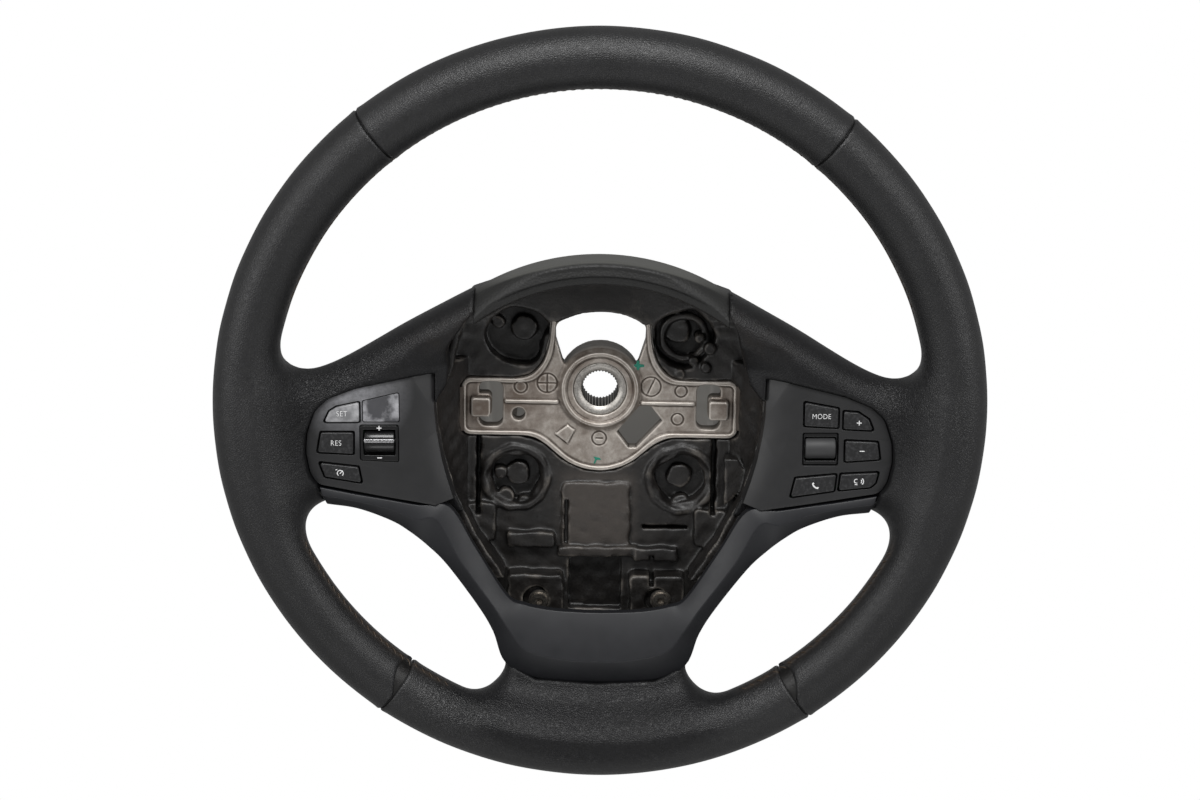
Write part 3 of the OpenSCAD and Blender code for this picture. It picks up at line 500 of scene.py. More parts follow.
# The same foam, moulded against a grained tool with cells of about 1.1 mm: matt black. The strip along its
# top is smooth, and lighter grey as painted light on its up-facing face
def grainedFoamMaterial():
    material, add, place = startMaterial("grainedFoam")
    smoothLitStrip = add("Attribute", attribute_name="smoothLitStrip")
    cells = add("TexVoronoi", {"Vector": place, "Scale": 900.0})
    cloud = add("TexNoise", {"Vector": place, "Scale": perMetre(20.0), "Detail": 3.0, "Roughness": 0.55})
    share = add("MapRange", {"Value": cloud, "From Min": 0.3, "From Max": 0.7})
    shade = add("Mix", {0: share, 6: linear("#0f0f0e"), 7: linear("#151514")}, data_type="RGBA")
    # Painted light: the up-facing strip along the top is greyer
    shade = add("Mix", {0: smoothLitStrip, 6: shade, 7: linear("#4c4c49")}, data_type="RGBA")
    rough = add("MapRange", {"Value": cloud, "From Min": 0.2, "From Max": 0.8, "To Min": 0.5,
                             "To Max": 0.62})
    grained = add("Math", {0: 1.0, 1: smoothLitStrip}, operation="SUBTRACT")
    height = add("Math", {0: cells, 1: grained}, operation="MULTIPLY")
    normal = add("Bump", {"Height": height, "Distance": 0.00016, "Strength": 0.8})
    shader = add("BsdfPrincipled", {"Base Color": shade, "Roughness": rough, "Normal": normal})
    add("OutputMaterial", {"Surface": shader})
    return material


# Pressure-cast magnesium, left bare: light grey-brown skin with flow streaks, brown oxide in patches, a
# darker brown in its hollows, painted highlights on ridges and edges, and painted shade on the boss's crest
# and the deeper faces.
# Its dull oxide skin takes metallic down to 0.55.
def magnesiumMaterial():
    material, add, place = startMaterial("castMagnesium")
    ridge = add("Attribute", attribute_name="relief")
    # Stains, and the painted shade on the boss's crest
    oxideAndShade = add("Attribute", attribute_name="stainAndShade")
    deep = add("Attribute", attribute_name="deep")
    cloud = add("TexNoise", {"Vector": place, "Scale": perMetre(11.0), "Detail": 6.0, "Roughness": 0.62})
    streak = add("TexNoise", {"Vector": place, "Scale": perMetre(3.2), "Detail": 8.0, "Roughness": 0.7})
    fine = add("TexNoise", {"Vector": place, "Scale": perMetre(0.7), "Detail": 4.0, "Roughness": 0.6})
    share = add("MapRange", {"Value": streak, "From Min": 0.3, "From Max": 0.7})
    shade = add("Mix", {0: share, 6: linear("#8f867e"), 7: linear("#bdb6ae")}, data_type="RGBA")
    # Brown oxide and painted shade in patches, then a darker brown in hollows: what it follows, what is
    # added, its range and its strength
    for code, base, extra, weight, low, high, strength in (
            ("#64564b", cloud, oxideAndShade, 0.35, 0.45, 0.85, 0.85),
            ("#3b322b", ridge, streak, 0.1, 0.53, 0.38, 0.9)):
        added = add("Math", {0: extra, 1: weight}, operation="MULTIPLY")
        guide = add("Math", {0: base, 1: added}, operation="ADD")
        share = add("MapRange", {"Value": guide, "From Min": low, "From Max": high})
        share = add("Math", {0: share, 1: strength}, operation="MULTIPLY")
        shade = add("Mix", {0: share, 6: shade, 7: linear(code)}, data_type="RGBA")
    # Painted highlight: paler along ridges and edges
    share = add("MapRange", {"Value": ridge, "From Min": 0.55, "From Max": 0.75, "To Max": 0.7})
    shade = add("Mix", {0: share, 6: shade, 7: linear("#d2ccc4")}, data_type="RGBA")
    # Painted shade: darker the deeper a face lies below the plate
    share = add("Math", {0: deep, 1: 0.7}, operation="MULTIPLY")
    shade = add("Mix", {0: share, 6: shade, 7: linear("#4d4842")}, data_type="RGBA")
    rough = add("MapRange", {"Value": streak, "From Min": 0.25, "From Max": 0.75, "To Min": 0.34,
                             "To Max": 0.58})
    normal = add("Bump", {"Height": streak, "Distance": 0.0003, "Strength": 0.55})
    normal = add("Bump", {"Height": fine, "Distance": 0.0001, "Strength": 0.5, "Normal": normal})
    shader = add("BsdfPrincipled", {"Base Color": shade, "Roughness": rough, "Normal": normal,
                                    "Metallic": 0.55})
    add("OutputMaterial", {"Surface": shader})
    return material


# Turned, plated or oiled steel by its numbers: a bright metal with fine marks that darken it
def metalMaterial(name, code, rough):
    material, add, place = startMaterial(name)
    marks = add("TexNoise", {"Vector": place, "Scale": perMetre(0.8), "Detail": 5.0, "Roughness": 0.7})
    share = add("MapRange", {"Value": marks, "From Min": 0.35, "From Max": 0.65})
    shade = add("Mix", {0: share, 6: darkened(code, 0.55), 7: linear(code)}, data_type="RGBA")
    sheen = add("MapRange", {"Value": marks, "From Min": 0.3, "From Max": 0.7, "To Min": rough - 0.08,
                             "To Max": rough + 0.1})
    normal = add("Bump", {"Height": marks, "Distance": 0.00005, "Strength": 0.5})
    shader = add("BsdfPrincipled", {"Base Color": shade, "Roughness": sheen, "Normal": normal,
                                    "Metallic": 1.0})
    add("OutputMaterial", {"Surface": shader})
    return material


# Pad-printed ink, brushed paint or waxed thread by its colour: flat, with small dull patches of wear
def printMaterial(name, code):
    material, add, place = startMaterial(name)
    wear = add("TexNoise", {"Vector": place, "Scale": perMetre(0.6), "Detail": 5.0, "Roughness": 0.7})
    share = add("MapRange", {"Value": wear, "From Min": 0.45, "From Max": 0.75})
    shade = add("Mix", {0: share, 6: linear(code), 7: darkened(code, 0.7)}, data_type="RGBA")
    shader = add("BsdfPrincipled", {"Base Color": shade, "Roughness": 0.5})
    add("OutputMaterial", {"Surface": shader})
    return material


# The point where the left pod's edge gets its painted highlight
podHighlightPlace = (-0.121, -0.039, 0.009)  # upper corner of the left pod, in the row's frame
materials = {
    "leather": leatherMaterial(),
    "foam": foamMaterial(),
    "arch": grainedFoamMaterial(),
    "magnesium": magnesiumMaterial(),
    "bezel": plasticMaterial("slatePlastic", "#15161a", 0.46, 0.3, 0.012),
    "pod": plasticMaterial("softTouchPlastic", "#212122", 0.46, highlightAt=podHighlightPlace),
    "key": plasticMaterial("keyPlastic", "#1e1e1f", 0.36, 0.4, 0.01, 0.12),
    "wornKey": plasticMaterial("rubbedKeyPlastic", "#7c7c7e", 0.3, 0.6, 0.02, 0.8, "#c0c0c2", 9.0),
    "wornBlank": plasticMaterial("rubbedBlankPlastic", "#4a4a4d", 0.34, 0.6, 0.02, 0.9, "#c8c8cc", 16.0),
    "gloss": plasticMaterial("glossBlackPlastic", "#121213", 0.2, 0.5, 0.004),
    "cover": coverMaterial(),
    "mat": plasticMaterial("siliconeRubber", "#3c3c3e", 0.6, 0.6, 0.02),
    "board": plasticMaterial("solderMask", "#1f5a3a", 0.4, 0.8, 0.01),
    "steel": metalMaterial("zincPlatedSteel", "#a8a29a", 0.38),
    "bush": metalMaterial("machinedSteel", "#c2beb8", 0.42),
    "oiledSteel": metalMaterial("oiledSteel", "#4a4743", 0.5),
    "roller": plasticMaterial("rubberRoller", "#363637", 0.55, 0.5, 0.03),
    "chrome": metalMaterial("brightBand", "#d8d8da", 0.22),
    "print": printMaterial("palePrint", "#f2f2f2"),
    "paint": printMaterial("greenPaint", "#1f7d68"),
    "thread": printMaterial("waxedThread", "#4b3f33"),
}
print("materials made")

# Leather

spoke = {
    "top": smoothCurve([55, 60.3, 75.4, 90.5, 105.5, 120.6, 135.7, 142, 152, 166],
                       [61, 58.3, 50.4, 42.1, 33.4, 24.7, 17, 16, 15, 17], 6),
    "low": smoothCurve([55, 63, 83, 102, 118, 132, 142, 152, 166],
                       [-60, -59.7, -58.5, -54, -51.2, -51.6, -53, -55.5, -59], 5),
    "front": smoothCurve([55, 83, 118, 142, 150, 166], [41, 41, 41, 42, 43.5, 47], 4),
    "back": smoothCurve([55, 83, 118, 142, 150, 166], [8, 8, 10.5, 14, 18, 27], 4),
}
lowSpoke = {
    "half": smoothCurve([-172, -160, -152, -146, -140, -134], [66, 60, 53, 48.5, 46, 46], 4),
    "front": smoothCurve([-172, -160, -152, -146, -140, -134], [50, 46, 41.5, 39.5, 38.5, 38], 4),
    "back": smoothCurve([-172, -160, -152, -146, -140, -134], [30, 25, 21, 19, 18, 18], 4),
}
podCorners = [i for i, (x, y) in enumerate(podOutline) if x < 107]
podPocket = roundedLoop(podOutline, 10.0, 2, podCorners)
cavityFoot = podInner + [(72, -50), (61, -73)]
leatherEdge = {
    "right": [(0, 100), (62.6, 100), (62.6, 49), (67.4, 38.4), (69, 28.6), (71, 20.7), (73.6, 11.7),
              (79.1, 4.9), (82.2, 3)] + cavityFoot + [(0, -73)],
    "left": [(0, 100), (62.6, 100), (62.7, 47.4), (66.7, 43.7), (69.5, 39), (73.5, 33.3), (75.4, 27.5),
             (74.7, 18.2), (75.5, 9.6), (80, 3)] + cavityFoot + [(0, -73)],
}
bezelRoom = [(0, -90), (58, -62), (70, -47.5), (84, -49), (139, -37), (139.3, -43), (137.8, -46.8),
             (135.6, -52.6), (119.5, -55.6), (103, -61.8), (94, -68), (76, -84.5), (60, -125),
             (45, -134), (0, -134)]


def rimField(x, y, z):
    return np.hypot(np.hypot(x, y) - rim["radius"], z - rim["dish"]) - rim["grip"]


def seamDistance(x, y, angle):
    a = math.radians(angle)
    return -x * math.sin(a) + y * math.cos(a)


def sideSpokeField(x, y, z):
    top, low = spoke["top"](x), spoke["low"](x)
    front, back = spoke["front"](x), spoke["back"](x)
    centre, half = ((top + low) / 2, (front + back) / 2), ((top - low) / 2, (front - back) / 2)
    return within(boxField(y, z, centre, half, 16.0), np.maximum(60 - x, x - 163), 2.0)


def lowSpokeField(x, y, z):
    half, front, back = lowSpoke["half"](y), lowSpoke["front"](y), lowSpoke["back"](y)
    section = boxField(x, z, (0, (front + back) / 2), (half, (front - back) / 2), 8.0)
    return within(section, np.maximum(-168 - y, y + 134), 1.0)


def openShare(x, y):
    angle = np.degrees(np.arctan2(y, np.abs(x)))
    upper = np.clip((angle - 15) / 5, 0, 1)
    lower = np.clip((-22 - angle) / 4, 0, 1) * np.clip((angle + 64) / 4, 0, 1)
    return upper + lower


def seamLean(x, y, z, width):
    ring = np.hypot(x, y) - rim["radius"]
    lean = np.arctan2(z - rim["dish"], -ring) - math.radians(12)
    return np.exp(-(lean * rim["grip"] / width) ** 2) * (ring < 0) * openShare(x, y)


def closingGroove(x, y, z):
    return 0.5 * seamLean(x, y, z, 1.0)


def leatherSkin(x, y, z, spokes, blend):
    skin = rimField(x, y, z) + closingGroove(x, y, z)
    if spokes is not None:
        inner = np.clip((2 - np.hypot(x, y) + rim["radius"]) / 10, 0, 1)
        skin = skin + (joined(skin, spokes, blend) - skin) * inner * inner * (3 - 2 * inner)
    return skin - 0.12 * ripple(x, y, z, 24, 3)


def seamEdges(skin, x, y, first, last):
    a, b = seamDistance(x, y, first), seamDistance(x, y, last)
    swell = 0.35 * (np.exp(-(a / 3.0) ** 2) + np.exp(-(b / 3.0) ** 2))
    ends = np.maximum(-a, b) + seamGap / 2
    return within(skin - swell, ends, 1.4)


def topLeatherField(x, y, z):
    return seamEdges(leatherSkin(x, y, z, None, 0), x, y, seamAngles["topRight"], seamAngles["topLeft"])


def sideLeatherField(x, y, z, edge, first, last):
    skin = leatherSkin(x, y, z, sideSpokeField(x, y, z), 25.0)
    skin = carved(skin, polygonField(x, y, edge), 0.7)
    fall = np.maximum(94 - x, 0) * 0.42 * np.clip((34 - y) / 14, 0, 1)
    skin = within(skin, z - 41.4 + fall - 2.5 * np.maximum(x - 94, 0), 2.0)
    pod = np.maximum(polygonField(x, y, podPocket) - 0.35, faceZ - podDepth - 0.3 - z)
    skin = carved(skin, pod, 1.2)
    room = np.maximum(polygonField(x, y, bezelRoom), 21.7 - z)
    skin = carved(skin, room, 0.8)
    return seamEdges(skin, x, y, first, last)


def rightLeatherField(x, y, z):
    first, last = seamAngles["bottomRight"] - 360, seamAngles["topRight"]
    return sideLeatherField(x, y, z, leatherEdge["right"], first, last)


def leftLeatherField(x, y, z):
    first, last = 180 - seamAngles["bottomLeft"], 180 - seamAngles["topLeft"]
    return sideLeatherField(-x, y, z, leatherEdge["left"], first, last)


def bottomLeatherField(x, y, z):
    skin = leatherSkin(x, y, z, lowSpokeField(x, y, z), 20.0)
    step = np.maximum(polygonField(x, y, bezelPlan) - 0.3, 27.7 - z)
    skin = carved(skin, step, 0.8)
    return seamEdges(skin, x, y, seamAngles["bottomLeft"], seamAngles["bottomRight"])


# Shiny, coarse places of the leather and the dirt along its closing seam
glossSpots = [((-139, 0), 26, 0.8), ((150, 6), 22, 0.6), ((-74, -156), 20, 0.7), ((10, -168), 50, 0.25),
              ((80, -156), 22, 0.3), ((-120, 30), 24, 0.4)]


def wornShare(x, y, z):
    total = 0.12 + 0.0 * x
    for (cx, cy), size, strength in glossSpots:
        total = total + strength * np.exp(-((x - cx) ** 2 + (y - cy) ** 2) / size ** 2)
    return total


def dirtShare(x, y, z):
    return seamLean(x, y, z, 2.6) * (0.5 + 0.5 * ripple(x, y, z, 5, 8))


# Where the leather gets painted shade: the flat spoke faces, and at the bottom the low spoke and the rim's
# inner side
def flatShadeShare(x, y, z):
    ring = np.hypot(x, y) - rim["radius"]
    spokes = np.clip((-16 - ring) / 10, 0, 1)
    low = (y < -125) * np.exp(-(x / 60) ** 4) * np.clip((8 - ring) / 10, 0, 1)
    return np.maximum(spokes, 1.5 * low)


# Lower bezel: inner edge, crease and outer edge at stations from the tip round to the middle
bezelStations = [((138.5, -42.6), (137.2, -46.4), (135, -51.8)), ((120, -46), (120, -49.2), (119.5, -54)),
                 ((104, -48.6), (103.5, -53), (103, -60)), ((89, -51.2), (90.5, -58), (93.5, -65.8)),
                 ((74, -52.2), (80.2, -58.2), (84.6, -73)), ((61, -73.4), (69, -78), (75, -82.8)),
                 ((45.2, -98.4), (51.5, -102.5), (59.6, -104)), ((36, -103.4), (44, -114), (51.8, -117.6)),
                 ((24, -105.9), (34.6, -125), (45.5, -134)), ((12, -106.8), (14, -129.8), (30, -142)),
                 ((0, -107.1), (0, -130.2), (0, -143.8))]
bezelPlan = ([(0.0, -60.0)] + [s[2] for s in bezelStations]
             + [(-s[2][0], s[2][1]) for s in reversed(bezelStations[:-1])])

leatherAttributes = {"worn": wornShare, "dirt": dirtShare, "flat": flatShadeShare}
leatherParts = {
    "leather_top": (topLeatherField, (-135, 110, 27), (135, 191, 60)),
    "leather_left": (leftLeatherField, (-191, -160, 6), (-60, 150, 60)),
    "leather_right": (rightLeatherField, (60, -160, 6), (191, 150, 60)),
    "leather_bottom": (bottomLeatherField, (-120, -191, 16), (120, -128, 60)),
}
leatherStep = 1.25
for name, (field, low, high) in leatherParts.items():
    fieldPiece(name + "_skin", field, low, high, leatherStep, materials["leather"], [name],
               leatherAttributes)


def combined(meshes):
    work = bmesh.new()
    for mesh in meshes:
        work.from_mesh(mesh)
    whole = bpy.data.meshes.new(meshes[0].name)
    work.to_mesh(whole)
    work.free()
    return whole


# Casting: the hub is sculpted, its arms and ring are the frame's own

casting = {"lip": 1.3, "plate": 9.0, "boreR": 8.85, "length": 19.0}
bossProfile = [(13.7, -19), (13.7, 0.6), (16.6, 1.5), (17.9, 2.9), (19.0, 2.9), (20.4, 0.4), (20.6, -19)]
bush = {"radius": 13.5, "length": 17.0, "top": 0.55, "root": 9.35}
markRings = [((-26.7, 2.5), 5.0), ((25.7, 1.4), 5.0), ((-40, 0.4), 3.2), ((41, -0.7), 3.0),
             ((39.5, -15.4), 3.0), ((0, -26), 3.6)]
markLines = [((-31.5, 2.5), (-21.9, 2.5)), ((-26.7, -2.3), (-26.7, 7.3)), ((23.6, -3.2), (27.8, 6)),
             ((-1.6, -26), (1.6, -26))]
latchBlock = ((60, -9.7), (4.9, 4.9))
armRib = ((34.5, -7.2), (13.6, 0.9))
raisedQuad = [(-23, -24), (-16, -18.5), (-12, -21.7), (-15.7, -29.6)]
slantedWindow = [(20.5, -9.4), (25.4, -9.4), (31, -16.4), (18.5, -30), (15.2, -30), (9.6, -22.7)]


def hubPlan(x, y):
    wings = boxField(x, y, (0, -10), (70, 15), 5.0)
    flat = joined(wings, discField(x, y, (0, -13), 30), 12.0)
    struts = polygonField(np.abs(x), y, [(-40, -10), (30, -6), (26.6, 14), (25, 34), (25, 60), (-40, 60)])
    return joined(flat, struts, 16.0)


def windowPlan(x, y):
    sides = polygonField(np.abs(x), y, [(-40, 10), (18.5, 12), (22.5, 25), (22.8, 33), (21, 50), (-40, 50)])
    return within(within(discField(x, y, (0, 0), 40.3), sides, 3.0), -discField(x, y, (0, 0), 21.4), 3.0)


def latchSlot(x, y):
    slot = boxField(x, y, (55, -8.7), (6, 11.8), 4.0)
    return within(slot, -boxField(x, y, (62.0, -9.4), (7.4, 5.9), 2.6), 1.0)


def castingField(x, y, z):
    flat = hubPlan(x, y)
    side = np.abs(x)
    body = slabField(flat, z, -casting["plate"], 0, 0.8)
    lip = slabField(np.abs(flat + 1.3) - 1.1, z, -2, casting["lip"], 0.7)
    boss = polygonField(np.hypot(x, y), z, bossProfile) - 0.25
    block = slabField(boxField(side, y, *latchBlock, 1.4), z, -1, 4.6, 0.9)
    rib = slabField(boxField(side, y, *armRib, 0.8), z, -1, 1.0, 0.6)
    quad = slabField(polygonField(x, y, raisedQuad) + 0.5, z, -1, 0.9, 0.5)
    for added, blend in ((lip, 0.9), (boss, 1.6), (block, 0.9), (rib, 0.8), (quad, 0.7)):
        body = joined(body, added, blend)
    marks = [discField(x, y, centre, radius) for centre, radius in markRings]
    marks += [lineField(x, y, first, last) for first, last in markLines]
    for mark in marks:
        body = carved(body, np.hypot(mark, z - 0.1) - 0.5, 0.4)
    body = body - 0.14 * ripple(x, y, z, 9, 4)
    holes = np.minimum(np.minimum(latchSlot(side, y), polygonField(x, y, slantedWindow) - 0.6),
                       np.minimum(discField(x, y, (-41, -14), 3.2), windowPlan(x, y)))
    body = carved(body, holes, 1.0)
    return carved(body, discField(x, y, (0, 0), bush["radius"] + 0.05), 0.4)


# Brown stains at the left and the right, and painted shade on the boss's crest ring
def stainAndShadeShare(x, y, z):
    left = 0.85 * np.exp(-((x + 52) ** 2 + (y + 8) ** 2) / 24 ** 2)
    right = 0.3 * np.exp(-((x - 60) ** 2) / 14 ** 2)
    # Painted shade: the boss's crest is darkened with the stain colour
    boss = 0.45 * np.exp(-((np.hypot(x, y) - 18) / 5) ** 2)
    return left + right + boss + 0.25 * ripple(x, y, z, 22, 14)


# Painted shade: how far below the plate's face the casting is darkened
def deepShadeShare(x, y, z):
    return np.clip((-z - 2.0) / 3, 0, 1)


def cadRemainder(source, name, dropped, material):
    def dropFaces(work):
        gone = [f for f in work.faces if dropped(f.calc_center_median() * 1000)]
        bmesh.ops.delete(work, geom=gone, context="FACES")
    mesh = edited(frame["nodes"][source].data.copy(), dropFaces)
    finishPiece(mesh, name, material, "wheel", [], 30)


fieldPiece("hub_casting", castingField, (-71, -44, -19), (71, 60, 5), 0.65,
           materials["magnesium"], ["armature"],
           {"relief": relief(castingField, 0.8), "stainAndShade": stainAndShadeShare, "deep": deepShadeShare})
cadRemainder("armature", "casting_arms", lambda c: abs(c.x) < 76 and c.z > -125, materials["magnesium"])

splineTeeth = 36


def splinedBush():
    ring = []
    for k in range(splineTeeth * 4):
        angle = 2 * math.pi * k / (splineTeeth * 4)
        radius = casting["boreR"] if k % 4 < 2 else bush["root"]
        ring.append((radius * math.cos(angle), radius * math.sin(angle)))
    top, root, radius = bush["top"], bush["root"], bush["radius"]
    teeth = plateMesh("teeth", [circleLoop((0, 0), root + 0.3, 72), ring], -bush["length"], -0.9, 0.05)
    section = [(root, -bush["length"]), (root, -0.7), (root + 0.3, -0.4), (11.2, top - 0.25), (11.8, top),
               (13.0, top), (13.3, top - 0.25), (radius, top - 0.8), (radius, -bush["length"]),
               (root, -bush["length"])]
    body = latheMesh("body", section, (0, 0, 0), "z", 72, False)
    finishPiece(teeth, "bush_teeth", materials["oiledSteel"], "wheel", [], 25)
    finishPiece(body, "splined_bush", materials["bush"], "wheel", ["hub_bush"], 25)


splinedBush()

# Foam tub

cavity = [(-40, 62), (0, 62), (32, 58), (62.5, 47.5), (67, 40), (71, 30), (73, 20), (75, 11), (81, 4.5),
          (82, 3)] + podInner + [(72, -50), (61, -73), (45, -98), (36, -103), (20, -106), (-40, -106.6)]
tubWallRise = 20.5
foldedTab = [(63.5, -33), (70, -33), (76.5, -43.5), (67, -55), (64, -57)]
lowFloor = ((22, -106), (30, 15))
floorRounds = {
    "pockets": [((42, 27), 15, -8.5), ((-42, 27), 15, -8.5), ((42, -47), 12.5, -7), ((-42, -47), 12.5, -7)],
    "discs": [((38.6, 30), 6.4, -3.2), ((-38.6, 30), 6.4, -3.6), ((41, -46), 6.0, -2.0),
              ((-41, -46), 6.0, -2.6)],
    "bumps": [((53, 12.5), 2.6, 3.0), ((40.5, 8.5), 2.6, 2.0), ((55, 22), 3.0, 2.0), ((-57, 6), 2.4, 1.5),
              ((9, -111), 5.0, 1.0), ((-47, -58), 4.2, -0.5), ((-37, -61), 3.6, -1.5),
              ((-50, -45), 3.2, -0.5), ((31, -60), 4.4, -1.0), ((42, -61), 5.0, -2.0),
              ((50, 27), 2.4, 0.8), ((47, 15), 2.6, 1.2), ((-52, 33), 3.4, -3.0), ((-28, 20), 3.0, -2.5)],
    "ridges": [((-42, -47), 16.0, 2.6), ((42, -47), 16.5, 2.2), ((42, 27), 11.0, -1.5)],
}
floorBoxes = {
    "raised": [((-1, -66), (17, 17), 2.8, 2.0), ((31, -107), (14, 11), 11.0, 2.5),
               ((-31, -107), (14, 11), 11.0, 2.5), ((-34, -79), (12, 4), 6.0, 1.5),
               ((30, -86), (11, 3.5), 6.5, 1.0), ((0, -85), (20, 2.5), 5.5, 1.0),
               ((-60, -70), (8, 10), 5.0, 2.0), ((57, -72), (8, 10), 5.0, 2.0)],
    "sunk": [((-1, -103), (13.5, 14), -5.0, 1.5), ((-61, -46), (1.2, 20), -9.0, 0.4),
             ((58.5, -45), (1.3, 19.5), -9.0, 0.4), ((34.5, -72.5), (11.5, 1.0), -7.0, 0.4),
             ((28, -94), (1.2, 7.5), 1.0, 0.4), ((-16, -70), (1.0, 12), 0.0, 0.4)],
}


def foamField(x, y, z):
    side = np.abs(x)
    outline = polygonField(side, y, cavity)
    high = np.clip((y - 33) / 4, 0, 1)
    # The floor rises towards the arch and up the side walls, and the wall follows the leather's edge
    floor = 0.8 + high * (1.6 + 0.8 * ripple(x, y, 0, 26, 11)) + 0.5 * ripple(x, y, 0, 15, 12)
    ramp = np.clip(1.15 * (side - 66), 0, 19) * (y < 16)
    body = np.minimum(outline - 1, boxField(side, y, *lowFloor, 2.0))
    body = within(np.maximum(body, -14 - z), z - floor - ramp, 2.0)
    wall = np.maximum(np.abs(outline - 1.5) - 1.9, np.maximum(z - tubWallRise, -10 - z))
    wall = np.maximum(wall, -95 - y)
    body = joined(body, wall, 2.5)
    for (centre, radius, top) in floorRounds["pockets"]:
        pocket = discField(x, y, centre, radius) - 2.0 * ripple(x, y, 0, 13, 21)
        body = carved(body, np.maximum(pocket, top - z), 2.2)
    for (centre, radius, top) in floorRounds["ridges"]:
        hoop = np.hypot(discField(x, y, centre, radius), z - top + 1.6) - 1.8 - 0.7 * ripple(x, y, 0, 9, 22)
        body = joined(body, hoop, 1.6)
    for (centre, radius, top) in floorRounds["discs"] + floorRounds["bumps"]:
        disc = discField(x, y, centre, radius) - 0.7 * ripple(x, y, 0, 7, 23)
        body = joined(body, slabField(disc, z, -12, top + 0.6 * ripple(x, y, 0, 11, 25), 0.9), 1.0)
    for (centre, half, top, corner) in floorBoxes["raised"]:
        block = boxField(x, y, centre, half, corner) - 0.8 * ripple(x, y, 0, 9, 24)
        body = joined(body, slabField(block, z, -12, top + 0.5 * ripple(x, y, 0, 12, 26), 1.0), 1.8)
    body = joined(body, slabField(polygonField(x, y, foldedTab), z, 2, 11, 0.5), 0.6)
    for (centre, half, top, corner) in floorBoxes["sunk"]:
        body = carved(body, np.maximum(boxField(x, y, centre, half, corner), top - z), 0.9)
    # Room for the bezel's screw feet, the hub plate and the window above it
    seatHole = discField(side, y, screwPlace, 6.6)
    legHole = boxField(side, y, (screwPlace[0] + 1, screwPlace[1] - 10), (5.4, 8))
    body = carved(body, np.maximum(np.minimum(seatHole, legHole), 8.0 - z), 0.8)
    plate = np.maximum(hubPlan(x, y) - 0.5, y - 34.0)
    body = carved(body, plate, 0.8)
    body = carved(body, windowPlan(x, y), 1.0)
    body = carved(body, slabField(hubPlan(x, y), z, -9.5, 0.2, 0.2), 0.4)
    return body - (1 - 0.8 * high) * (0.4 * ripple(x, y, z, 9, 5) + 0.25 * ripple(x, y, z, 4.6, 6))


# Painted shade: how far below the floor's level the foam is darkened
def sunkShadeShare(x, y, z):
    return np.clip((-1.5 - z) / 6, 0, 1)


# Painted sheen on the foam's middle panel
def panelSheenShare(x, y, z):
    return np.clip((22 - np.abs(x)) / 8, 0, 1) * np.clip((-40 - y) / 8, 0, 1) * np.clip((y + 88) / 8, 0, 1)


arch = {"centreY": -41.0, "outer": 115.3, "top": 40.7, "half": 62.7, "foot": 20.0, "roundness": 15.0}


def archField(x, y, z):
    ring = np.hypot(x, y - arch["centreY"])
    section = polygonField(ring, z, archSection) - 0.3
    corner = 1 + arch["roundness"] * np.clip(np.abs(x) / 62, 0, 1) ** 2
    rounded = np.hypot(np.maximum(ring - arch["outer"] + corner, 0),
                       np.maximum(z - arch["top"] + corner, 0)) - corner
    section = np.maximum(section, rounded)
    return within(section, np.maximum(np.abs(x) - arch["half"], arch["foot"] - y), 0.2)


# The top strip: smooth, and lightened as painted light
def litTopStripShare(x, y, z):
    ring = np.hypot(x, y - arch["centreY"])
    return np.clip((ring - 114.2) / 0.6, 0, 1) * np.clip((64 - np.abs(x)) / 20, 0, 1)


archSection = [(103.5, 12), (110, 12), (115, 21), (115, 37), (114.2, 38.9), (112.9, 40.2), (112.4, 39.6),
               (108.6, 40.4), (108.0, 39.2), (107.0, 38.9), (104.3, 38.4), (103.4, 36.5)]
fieldPiece("foam_tub", foamField, (-86, -119, -14), (86, 66, 22), 1.02,
           materials["foam"], ["foam_core"],
           {"relief": relief(foamField, 1.2), "sunk": sunkShadeShare, "panelSheen": panelSheenShare})
fieldPiece("tub_arch", archField, (-64, 20, 11), (64, 75, 42), 0.8, materials["arch"],
           [], {"smoothLitStrip": litTopStripShare})


def outsideRim(c):
    return math.hypot(math.hypot(c.x, c.z) - rim["radius"], c.y + rim["dish"]) > rim["grip"] - 0.8


cadRemainder("foam_core", "foam_rest", outsideRim, materials["foam"])

# Lower bezel

bezelHeights = {"inner": [-5, -5, -5, -5.5, -7, -8, -8, -8, -8, -8, -8],
                "crease": [-4, -4, -4, -3.6, -3.2, -2.6, -1.6, -1, 0, 0, 0],
                "back": [-22, -22, -22, -22, -22, -22, -22, -22, -16, -12, -12]}
bezelWall = 1.5  # heights above are from the rim's middle plane


def smoothRow(rows, steps):
    rows = np.asarray(rows, float)
    padded = np.vstack([2 * rows[0] - rows[1], rows, 2 * rows[-1] - rows[-2]])
    out = []
    for i in range(1, len(padded) - 2):
        a, b, c, d = padded[i - 1:i + 3]
        for k in range(steps):
            t = k / steps
            out.append(0.5 * (2 * b + (c - a) * t + (2 * a - 5 * b + 4 * c - d) * t ** 2
                              + (3 * b - a - 3 * c + d) * t ** 3))
    out.append(rows[-1])
    return np.array(out)


def softenEdges(work):
    outward(work)
    sharp = [e for e in work.edges if len(e.link_faces) == 2 and e.calc_face_angle() > math.radians(14)]
    bmesh.ops.bevel(work, geom=sharp, offset=0.0005, segments=3, profile=0.5, affect="EDGES",
                    clamp_overlap=True)


